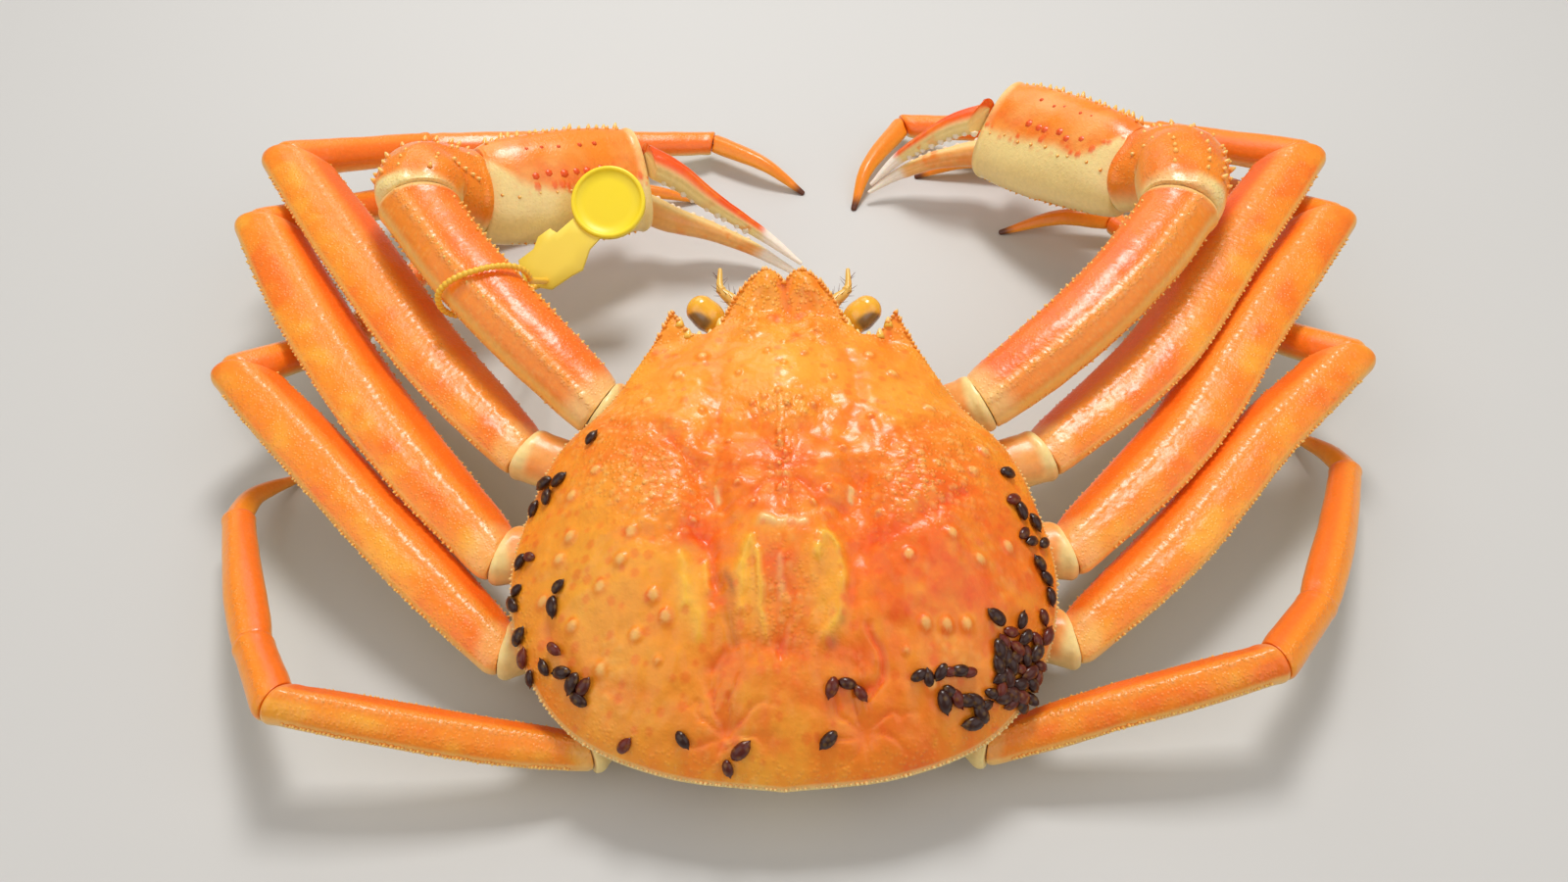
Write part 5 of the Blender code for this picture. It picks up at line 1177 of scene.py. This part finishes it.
for side_name, side, legs in (("right", 1, LEGS_RIGHT), ("left", -1, LEGS_LEFT)):
    for number, (places, heights, sizes) in enumerate(zip(legs, LEG_HEIGHTS, LEG_SIZES), start=1):
        name = f"leg_{side_name}_{number}"
        seed = 100.0 * number + 10 * side
        joints = MM * np.column_stack([places, heights])
        base, knee, carpus, ankle = joints[[0, 3, 4, -3]]
        root, _ = wall_of(number, side)
        base_joint = joint_plane(root, base, joints[1])
        knee_joint = joint_plane(joints[2], knee, carpus)
        carpus_joint = joint_plane(knee, carpus, ankle)
        ankle_joint = joint_plane(carpus, ankle, joints[-2])
        base_piece(name + "_base", number, side, base, joints[1], seed)
        face = np.multiply(MERUS_FACE, (side, 1, 1))
        limb = limb_table(joints[:4], MERUS_PROFILE, MERUS_THICKENING, face, side, sizes["merus"])
        merus_piece(name + "_merus", limb, base_joint, knee_joint, seed)
        limb = limb_table(joints[3:5], CARPUS_PROFILE, CARPUS_PROFILE, LEG_FACE, side, sizes["carpus"])
        slim_piece(name + "_carpus", limb, 110, knee_joint, carpus_joint, seed + 1)
        limb = limb_table(joints[4:-2], PROPODUS_PROFILE, PROPODUS_PROFILE, LEG_FACE, side, sizes["propodus"])
        slim_piece(name + "_propodus", limb, 170, carpus_joint, ankle_joint, seed + 2)
        limb = limb_table(joints[-3:], DACTYL_PROFILE, DACTYL_PROFILE, LEG_FACE, side, DACTYL)
        toe_piece(name + "_dactyl", limb, ankle_joint, seed + 3)


# Claws.
# Thicker limbs of the same shell: spines on the edges of merus and carpus, a swollen palm with an orange
# upper face over cream, a fixed finger that is one with it, and a hinged finger that closes on that.
# Joints in millimetres, and the way that each palm faces
CLAW_RIGHT = {
    "base": (55.6, 42.8, 37),
    "merus": ((79.5, 60.2, 44.8), (101.5, 80.8, 51.2)),
    "knee": (119.5, 104, 56),
    "carpus": (123.7, 127, 53.5),
    "wrist": (113.3, 137, 43),
    "hinge": (75.9, 180, 28.5),
    "finger": ((73.4, 175, 37.5), (60.4, 177.3, 32), (49.8, 178.4, 24), (41.1, 180.1, 15), (32, 176.1, 7)),
    "fixed": (
        (71.4, 177.8, 19.5), (56.8, 179.1, 16), (47.2, 179.1, 12), (38.4, 177.4, 8), (31.3, 174.5, 4.5),
    ),
}
CLAW_LEFT = {
    "base": (-51.8, 40.6, 37),
    "merus": ((-72.7, 60.8, 44.8), (-93.5, 82.4, 51.2)),
    "knee": (-110.9, 105.7, 56),
    "carpus": (-109.7, 119, 53.5),
    "wrist": (-98.1, 125.9, 43),
    "hinge": (-49.4, 151.3, 29),
    "finger": (
        (-47.4, 149.3, 39), (-36.2, 147.1, 34), (-26.2, 143.9, 27), (-16.7, 142, 20.5), (-6.1, 139.5, 13.5),
        (5.7, 132.2, 8),
    ),
    "fixed": (
        (-48.8, 147, 20), (-38.4, 144.4, 17), (-28.2, 144.5, 13), (-19.1, 142.8, 10), (-8.5, 139.1, 7),
        (6.7, 129.4, 4),
    ),
}
PALM_FACE_RIGHT = (-0.5, -0.42, 0.74)
PALM_FACE_LEFT = (0.36, -0.53, 0.76)
CLAW_MERUS = (0.0110, 0.0078)
CLAW_CARPUS = (0.0140, 0.0115)
CLAW_MERUS_PROFILE = (0.82, 0.96, 1.0, 1.04)
CLAW_CARPUS_PROFILE = (0.88, 1.0, 1.0, 0.95)
PALM_HALF_HEIGHTS = (0.0155, 0.0175, 0.0185, 0.0185, 0.0170)
PALM_HALF_THICKNESSES = (0.0090, 0.0105, 0.0108, 0.0098, 0.0082)
FINGER_HALF_HEIGHTS = (0.0058, 0.0046, 0.0036, 0.0028, 0.0020, 0.0007)
FINGER_HALF_THICKNESSES = (0.0048, 0.0042, 0.0034, 0.0026, 0.0018, 0.0007)
FIXED_HALF_HEIGHTS = (0.0064, 0.0050, 0.0037, 0.0028, 0.0019, 0.0007)
FIXED_HALF_THICKNESSES = (0.0050, 0.0042, 0.0034, 0.0026, 0.0018, 0.0007)
FINGER_ROOT_SINK = 0.006
MERUS_SPINE_ROWS = (
    (0, 34, 0.0005, 0.0006), (180, 30, 0.0006, 0.0009), (70, 34, 0.0006, 0.0006), (150, 26, 0.0005, 0.0006),
)
CARPUS_SPINE_ROWS = (
    (20, 8, 0.0009, 0.0014), (45, 9, 0.0009, 0.0014), (75, 9, 0.0008, 0.0010), (110, 8, 0.0008, 0.0009),
)
PALM_SPINE_ROWS = (
    (0, 16, 0.0010, 0.0020), (20, 14, 0.0006, 0.0009), (100, 9, 0.0006, 0.0005), (180, 20, 0.0005, 0.0006),
)
PALM_CREAM = (248, 220, 146)
FINGER_TIP = (255, 240, 222)
TIP_SPAN = (0.70, 0.78)
FIXED_BACK = (252, 190, 110)
TEETH = (9, 0.0012, 0.0009)
TOOTH_CREAM = (254, 232, 190)
SPOT_ROWS = ((55, 5, 0.0007, 0.0004), (84, 6, 0.0013, 0.0005))
SPOTTED = (0.30, 0.68)
PALM_BORDER_RISE = 0.75


def claw_merus_piece(name, limb, start, end, seed):
    """Claw arm: a broad red-orange upper face, a gritty ridge, a pale outer side and spiny edges."""
    shape = {"ridge": 2.0, "keel": 2.3}
    grid, share, turn, inside = segment(limb, 220, 110, start, end, **shape)
    across, up = section(turn, **shape)
    upper = ease(up, 0.0, 0.35)
    beads = grains(share * limb[2] / 0.0014, turn / (2 * np.pi) * 36, 36, seed, 0.6)
    ridge_band = np.exp(-(((across - 0.35) / 0.13) ** 2)) * upper
    front = ease(0.28 - across, 0.0, 0.3) * upper
    blush = clouds(grid, 0.009, seed)
    ends = np.maximum(0.7 - 0.7 * ease(share, 0.02, 0.10), 0.8 * (1 - ease(inside, 0.0008, 0.0022)))
    colours = painted(
        LIMB_CREAM,
        (LEG_ORANGE, ease(up, -0.5, 0.10)),
        (LEG_RED, front * (0.50 + 0.35 * blush)),
        # A pale pink ridge, with a painted highlight on the tops of its beads
        (LEG_PINK, ridge_band * (0.15 + 0.5 * beads)),
        (LEG_EDGE, 0.75 * ease(across, 0.78, 0.95) + 0.2 * beads * ease(across, 0.4, 0.7)),
        (LIMB_CREAM, 0.85 * ends),
    )
    relief_height = 0.0005 * ridge_band + beads * (0.00006 + 0.00025 * ridge_band)
    relief_height += 0.0005 * clouds(grid, 0.014, seed + 5)
    grit = 0.9 * ridge_band + 0.4 * front + 0.1
    parts = [limb_part(grid, relief_height, inside, colours, grit)]
    parts += spine_rows(limb, MERUS_SPINE_ROWS, (0.10, 0.92), seed, **shape)
    add_piece(name, parts, limb_finish, "claw_shell", name)


def claw_carpus_piece(name, limb, start, end, seed):
    """Wrist piece: swollen, orange with rows of pale-tipped spines above, cream below."""
    grid, share, turn, inside = segment(limb, 120, 120, start, end, domes=(0.5, 0.5))
    up = np.sin(turn)
    colours = painted(
        LIMB_CREAM,
        (LEG_ORANGE, ease(up, -0.3, 0.3) * ease(share, 0.02, 0.15)),
        (LEG_RED, 0.5 * ease(up, 0.3, 0.9) * ease(clouds(grid, 0.010, seed), -0.3, 0.5)),
    )
    ridge_band = np.exp(-(((np.cos(turn) - 0.2) / 0.12) ** 2)) * ease(up)
    relief_height = 0.0008 * clouds(grid, 0.010, seed + 4) + 0.0004 * ridge_band
    grit = 0.7 * ease(up, 0.0, 0.5)
    parts = [limb_part(grid, relief_height, inside, colours, grit)]
    parts += spine_rows(limb, CARPUS_SPINE_ROWS, (0.18, 0.80), seed)
    add_piece(name, parts, limb_finish, "claw_shell", name)


def finger_part(limb, seed, back, start=None, inner_turn=180.0):
    """A claw finger: one colour on its back, cream towards the other finger, a hard white tip."""
    grid, share, turn, _ = segment(limb, 130, 56, start, None, ridge=2.1, keel=2.1)
    facing = 0.5 + 0.5 * np.cos(turn - np.radians(inner_turn))
    grooves = -0.00035 * np.exp(-(((np.cos(turn * 2) + 0.2) / 0.3) ** 2)) * ease(1 - share, 0.0, 0.4)
    blotches = ease(clouds(grid, 0.003, seed + 8), 0.1, 0.5)
    blotches = blotches * ease(share, 0.35, 0.5) * ease(0.74 - share, 0.0, 0.1)
    colours = painted(
        back,
        (LEG_ORANGE, 0.6 * ease(clouds(grid, 0.006, seed), -0.2, 0.5)),
        (LIMB_CREAM, ease(facing, 0.45, 0.75)),
        (FINGER_TIP, ease(share + 0.03 * clouds(grid, 0.004, seed + 4), *TIP_SPAN)),
        (LEG_ORANGE, 0.7 * blotches),
    )
    return skin_part(raised(grid, grooves + 0.0002 * clouds(grid, 0.006, seed + 1)), colours, 0.1)


def palm_colours(grid, share, turn, seed):
    """An orange patch on the upper part of the broad face, with red spots below it, on cream."""
    upper_edge = np.cos(turn)
    face = ease(np.sin(turn), -0.2, 0.4)
    border = upper_edge - PALM_BORDER_RISE * (1 - ease(share, 0.0, 0.34)) ** 2
    border = border + 0.08 * clouds(grid, 0.006, seed + 11)
    patch = face * ease(border, -0.22, 0.02) * ease(1.0 - share, 0.0, 0.08)
    spots = grains(share * 22, turn / (2 * np.pi) * 44, 44, seed + 7, 0.50)
    band = np.exp(-(((border + 0.08) / 0.12) ** 2)) * face
    blush = np.exp(-(((border - 0.10) / 0.16) ** 2)) * face * ease(clouds(grid, 0.004, seed + 5), -0.4, 0.4)
    back = ease(-np.sin(turn), 0.1, 0.5) * ease(upper_edge, -0.2, 0.5)
    colours = painted(
        PALM_CREAM,
        (LEG_ORANGE, patch * (0.90 + 0.3 * clouds(grid, 0.010, seed))),
        (LEG_RED, 0.40 * patch * ease(clouds(grid, 0.014, seed + 3), 0.0, 0.5)),
        (LEG_RED, 0.45 * blush * ease(share, 0.1, 0.3)),
        (LEG_RED, 0.8 * band * ease(spots, 0.2, 0.5)),
        (LEG_ORANGE, 0.6 * back),
    )
    return colours, spots * band


claws = (("right", 1, CLAW_RIGHT, PALM_FACE_RIGHT), ("left", -1, CLAW_LEFT, PALM_FACE_LEFT))
for side_name, side, places, palm_face in claws:
    name = f"claw_{side_name}"
    joints = {key: MM * np.array(place) for key, place in places.items()}
    seed = 900.0 + 40 * side
    root, _ = wall_of(0, side)
    base_joint = joint_plane(root, joints["base"], joints["merus"][0])
    knee_joint = joint_plane(joints["merus"][-1], joints["knee"], joints["carpus"])
    wrist_joint = joint_plane(joints["carpus"], joints["wrist"], joints["hinge"])
    base_piece(name + "_base", 0, side, joints["base"], joints["merus"][0], seed)
    path = (joints["base"], *joints["merus"], joints["knee"])
    arm = limb_table(path, CLAW_MERUS_PROFILE, CLAW_MERUS_PROFILE, LEG_FACE, side, CLAW_MERUS)
    claw_merus_piece(name + "_merus", arm, base_joint, knee_joint, seed + 1)
    if side < 0:
        tagged_arm = arm
    path = (joints["knee"], joints["carpus"], joints["wrist"])
    limb = limb_table(path, CLAW_CARPUS_PROFILE, CLAW_CARPUS_PROFILE, LEG_FACE, side, CLAW_CARPUS)
    claw_carpus_piece(name + "_carpus", limb, knee_joint, wrist_joint, seed + 2)

    hinge = joints["hinge"]
    along = unit(hinge - joints["wrist"])
    path = (joints["wrist"], hinge)
    limb = limb_table(path, PALM_HALF_HEIGHTS, PALM_HALF_THICKNESSES, palm_face, side)
    grid, share, turn, inside = segment(limb, 200, 160, wrist_joint, (hinge, along), domes=(0.3, 0.3))
    colours, spots = palm_colours(grid, share, turn, seed)
    relief_height = 0.0003 * spots + 0.0006 * clouds(grid, 0.015, seed + 5)
    parts = [limb_part(grid, relief_height, inside, colours, 0.2)]
    parts += spine_rows(limb, PALM_SPINE_ROWS, (0.10, 0.90), seed)
    parts += spine_rows(limb, SPOT_ROWS, SPOTTED, seed + 70, 1, LEG_RED, LEG_RED, lean=0.0)
    start = joints["fixed"][0]
    start = start - along * ((start - hinge) @ along + FINGER_ROOT_SINK)
    path = (start, *joints["fixed"])
    limb = limb_table(path, FIXED_HALF_HEIGHTS, FIXED_HALF_THICKNESSES, palm_face, side)
    parts.append(finger_part(limb, seed + 20, FIXED_BACK, inner_turn=0.0))
    parts.append(spine_row(limb, 0, *TEETH, (0.16, 0.66), seed + 90, TOOTH_CREAM, FINGER_TIP, lean=0.0))
    add_piece(name + "_palm", parts, limb_finish, "claw_shell", name + "_palm")

    limb = limb_table(joints["finger"], FINGER_HALF_HEIGHTS, FINGER_HALF_THICKNESSES, palm_face, side)
    parts = [finger_part(limb, seed + 30, LEG_RED, (hinge + along * SKIN_GAP, along))]
    parts.append(spine_row(limb, 180, *TEETH, (0.16, 0.66), seed + 95, TOOTH_CREAM, FINGER_TIP, lean=0.0))
    add_piece(name + "_finger", parts, limb_finish, "claw_shell", name + "_finger")


# Head.
# Under the rostrum: two glossy eyes on short stalks, each with a dark cornea, two antennae of three joints
# with bristles, and a pair of flat outer mouthparts that close the mouth below.
EYE_STALK = MM * np.array(((13, 53, 46.5), (17.2, 57.5, 48), (20, 61.2, 50.5), (23.6, 63.6, 53)))
EYE_RADII = (0.0025, 0.0022, 0.0021, 0.0036, 0.0045, 0.0042)
ANTENNA = MM * np.array((
    (7.8, 60, 47), (9.5, 66, 47.5), (15, 71.5, 49), (18.3, 74.5, 50.5), (18.6, 80.5, 52.5),
))
ANTENNA_RADII = (0.0026, 0.0025, 0.0021, 0.0012, 0.0006)
CORNEA_WAY = (0.15, -0.95, -0.20)
EYE_AMBER = (252, 182, 44)
CORNEA = (120, 92, 62)
ANTENNA_COLOUR = (240, 190, 90)
eye_finish = shell_finish("glossy_eye", 0.20, 1.0, 0.0006, 0.00003, glow=0.2)

for side_name, side in (("right", 1), ("left", -1)):
    flip = np.array((side, 1, 1))
    front, corner, back = (np.array((x, y, 0.0)) for x, y in HEAD_HALF[:3])
    front_normal = unit(np.cross(corner - front, (0, 0, -1))) * flip
    orbit_normal = unit(np.cross(back - corner, (0, 0, -1))) * flip
    limb = limb_table(EYE_STALK * flip, EYE_RADII, EYE_RADII, (0, 0, 1), side)
    start = (corner * flip + orbit_normal * SKIN_GAP * 1.5, orbit_normal)
    grid, share, turn, inside = segment(limb, 60, 48, start, None, (0.9, 0.9), ridge=2.0, keel=2.0)
    centre = EYE_STALK[-1] * flip
    looks = unit(CORNEA_WAY * flip)
    far = np.linalg.norm(grid - EYE_STALK[0] * flip, axis=-1)
    cornea = ease(unit(grid - centre) @ looks, 0.62, 0.80) * ease(far, 0.010, 0.012)
    stalk = 1 - ease(np.linspace(0, 1, len(grid)), 0.42, 0.55)[:, None] + 0 * cornea
    colours = painted(EYE_AMBER, (ANTENNA_COLOUR, 0.6 * stalk), (CORNEA, 0.9 * cornea))
    part = skin_part(grid, colours)
    add_piece(f"eye_{side_name}", [part], eye_finish, "eye", f"eye_{side_name}")

    limb = limb_table(ANTENNA * flip, ANTENNA_RADII, ANTENNA_RADII, (0, 0, 1), side)
    start = (corner * flip + front_normal * SKIN_GAP * 1.5, front_normal)
    grid, share, turn, inside = segment(limb, 110, 24, start, None, (0.9, 0.9), ridge=2.0, keel=2.0)
    joint_rings = sum(np.exp(-(((share - at) / 0.015) ** 2)) for at in (0.24, 0.50, 0.74))
    colours = painted(ANTENNA_COLOUR, (LEG_RED, 0.4 * ease(clouds(grid, 0.004, 5.0), 0.0, 0.6)))
    part = skin_part(raised(grid, 0.0003 * joint_rings), colours)
    number = np.arange(26)
    at, around = 0.35 + 0.6 * hashed(number, 3.0), 2 * np.pi * hashed(number, 5.0)
    places, away, tangent = limb_point(limb, at, around)
    bristles = spines(places, away + tangent, 0.00010, 0.0024, TOE_TIP, TOE_TIP, sides=4)
    add_piece(f"antenna_{side_name}", [part, bristles], pale_finish, "pale_shell", f"antenna_{side_name}")


MAXILLIPED_MIDDLE = 0.0064
MAXILLIPED_SPAN = (0.0350, 0.0600)
MAXILLIPED_HALF_WIDTHS = (0.0040, 0.0056, 0.0058, 0.0050, 0.0036)
MAXILLIPED_HALF_THICKNESS = 0.0030
MAXILLIPED_STAND_OFF = 0.0012

for side_name, side in (("right", 1), ("left", -1)):
    ends = np.array([(side * MAXILLIPED_MIDDLE, y, mouth_height(y)) for y in MAXILLIPED_SPAN])
    face = unit((0.0, (ends[1, 2] - ends[0, 2]) / (ends[1, 1] - ends[0, 1]), -1.0))
    plane = (np.array((0.0, *ends[0, 1:])) + face * SKIN_GAP, face)
    thickness = (MAXILLIPED_HALF_THICKNESS,) * 2
    limb = limb_table(ends + face * MAXILLIPED_STAND_OFF, MAXILLIPED_HALF_WIDTHS, thickness, face, side)
    grid, share, turn, inside = segment(limb, 90, 48, plane, None, (0.4, 0.4), neck=1.0)
    joint = np.exp(-(((share - 0.45) / 0.012) ** 2)) + np.exp(-(((share - 0.80) / 0.010) ** 2))
    furrow = np.exp(-(((np.cos(turn) - 0.15) / 0.12) ** 2)) * ease(np.sin(turn), 0.2, 0.8)
    colours = painted(LIMB_CREAM, (LEG_ORANGE, 0.5 * ease(clouds(grid, 0.005, 3.0))))
    relief_height = -0.0004 * (joint + furrow) * ease(inside, 0.0002, 0.0012)
    part = skin_part(raised(grid, relief_height), colours, 0.3)
    add_piece(f"maxilliped_{side_name}", [part], pale_finish, "pale_shell", f"maxilliped_{side_name}")


# Tag.
# Yellow plastic, two tones: a notched plate, on it a disc with a raised rim, and a beaded cord that ties them
# round the left claw's arm. Its faces are bare.
TAG_DISC_CENTRE = (-0.0559, 0.1236, 0.0413)
TAG_FACE = (0.0, -0.55, 0.83)
TAG_AXIS = (-0.62, -0.65, -0.43)
TAG_THICKNESS = 0.0020
TAG_PLATE = MM * np.array((
    (10, -5.3), (15.4, -5), (22, -7.5), (25.5, -6), (33, -3.8), (37.2, 3.8), (32.4, 10.4), (26.5, 9),
    (22.6, 10.4), (18.1, 9.2), (17.8, 6.6), (10, 5.3),
))
TAG_DISC_PROFILE = MM * np.array((
    (11.3, 0), (11.8, 0.3), (11.8, 2.3), (11.6, 2.7), (10.8, 2.7), (10.4, 2.4), (10.2, 2), (7, 2.1),
))

# Rings of the plate: share of its outline, height over its back face
TAG_PLATE_RINGS = (
    (0.5, 0.0002), (0.97, 0.0002), (1.0, 0.0005), (1.0, 0.0015), (0.97, 0.0018), (0.5, 0.0018),
)

# The band: where it holds the arm, its cord's radius, its slant, its gap to the shell, and its far turn
BAND_SHARE = 0.56
BAND_RADIUS = 0.0010
BAND_SLANT = (-0.35, 0.90, 0.10)
BAND_CLEARANCE = 0.0006
BAND_HOLD = 0.0335
BAND_WRAP = (-55, 183)
BAND_TURN = 0.0018
BAND_BEAD_STEP = 0.0016
DISC_YELLOW = (255, 226, 36)
PLATE_YELLOW = (255, 224, 84)
BAND_YELLOW = (250, 196, 60)


def plastic_finish(name, roughness):
    """Moulded plastic: the piece's own tint with a faint clouding, half matt."""
    finish, shader, tint, place = tinted_finish(name)
    haze = add_node(finish, "TexNoise", {"Vector": place, "Scale": 300.0})["Fac"]
    wear = {"Value": haze, "To Min": roughness - 0.05, "To Max": roughness + 0.08}
    surface = {
        "Base Color": tint["Color"],
        "Roughness": add_node(finish, "MapRange", wear)["Result"],
        "Subsurface Weight": 0.15,
        "Subsurface Radius": (0.002, 0.002, 0.001),
    }
    connect(finish, shader, surface)
    return finish


tag_face, tag_along = unit(TAG_FACE), unit(TAG_AXIS)
tag_across = np.cross(tag_along, tag_face)
tag_centre = np.array(TAG_DISC_CENTRE)
spoke_turn = np.arange(96) * 2 * np.pi / 96
spokes = tag_along * np.cos(spoke_turn)[:, None] + tag_across * np.sin(spoke_turn)[:, None]
grid = np.array([tag_centre + tag_face * rise + spokes * reach for reach, rise in TAG_DISC_PROFILE])
points, quads, triangles = skin(grid, tag_centre, tag_centre + tag_face * TAG_DISC_PROFILE[-1][1])
parts = [(points, quads, triangles, (*daylight(DISC_YELLOW), 0.0))]

plate = np.array([tag_centre + tag_along * u + tag_across * v for u, v in TAG_PLATE])
middle = plate.mean(axis=0)
grid = np.array([middle + (plate - middle) * reach + tag_face * rise for reach, rise in TAG_PLATE_RINGS])
ends = (middle + tag_face * rise for rise in (TAG_PLATE_RINGS[0][1], TAG_PLATE_RINGS[-1][1]))
points, quads, triangles = skin(grid, *ends)
parts.append((points, quads, triangles, (*daylight(PLATE_YELLOW), 0.0)))

hold = tag_centre + tag_along * BAND_HOLD + tag_face * (TAG_THICKNESS / 2)
wrap_turn = np.radians(np.linspace(*BAND_WRAP, 60))
centre, tangent, edge, face, width, height = limb_frame(tagged_arm, np.full(60, BAND_SHARE))
x, y = section(wrap_turn)
clear = BAND_CLEARANCE + BAND_RADIUS
reach_out = edge * (width + clear) * x[:, None] + face * (height + clear) * y[:, None]
slant = unit(BAND_SLANT)
wrap = centre + reach_out - tangent * ((reach_out @ slant) / (tangent @ slant))[:, None]
ahead = unit(hold - (wrap[0] + wrap[-1]) / 2)
apart = wrap[0] - wrap[-1]
apart = unit(apart - ahead * (apart @ ahead))
first, last = hold + apart * BAND_TURN, hold - apart * BAND_TURN
bend = np.radians(np.linspace(-90, 90, 12))[:, None]
turn_round = hold + ahead * BAND_TURN * np.cos(bend) + apart * BAND_TURN * np.sin(bend)
straight = np.linspace(0.05, 0.97, 24)[:, None]
out, back = wrap[-1] + (last - wrap[-1]) * straight, first + (wrap[0] - first) * straight
cord = np.concatenate([wrap, out, turn_round, back])
length = run_along(np.vstack([cord, cord[:1]]))[-1]
bead_count = int(length / BAND_BEAD_STEP)
cord, at = closed_line(cord, bead_count * 8)
cord_tangent = unit(np.roll(cord, -1, axis=0) - np.roll(cord, 1, axis=0))
cord_normal = unit(np.linalg.svd(cord - cord.mean(axis=0))[2][2])
cord_across = unit(np.cross(cord_tangent, cord_normal))
cord_other = np.cross(cord_across, cord_tangent)
cord_turn = np.arange(12) * 2 * np.pi / 12
swell = BAND_RADIUS * (0.68 + 0.34 * np.abs(np.sin(at / length * bead_count * np.pi)))
ring = cord_across[:, None] * np.cos(cord_turn)[:, None] + cord_other[:, None] * np.sin(cord_turn)[:, None]
grid = cord[:, None] + ring * swell[:, None, None]
grid = np.concatenate([grid, grid[:1]])
points, quads, triangles = skin(grid)
parts.append((points, quads, triangles, (*daylight(BAND_YELLOW), 0.0)))
add_piece("tag", parts, plastic_finish("tag_plastic", 0.38), "tag_plastic", "tag")
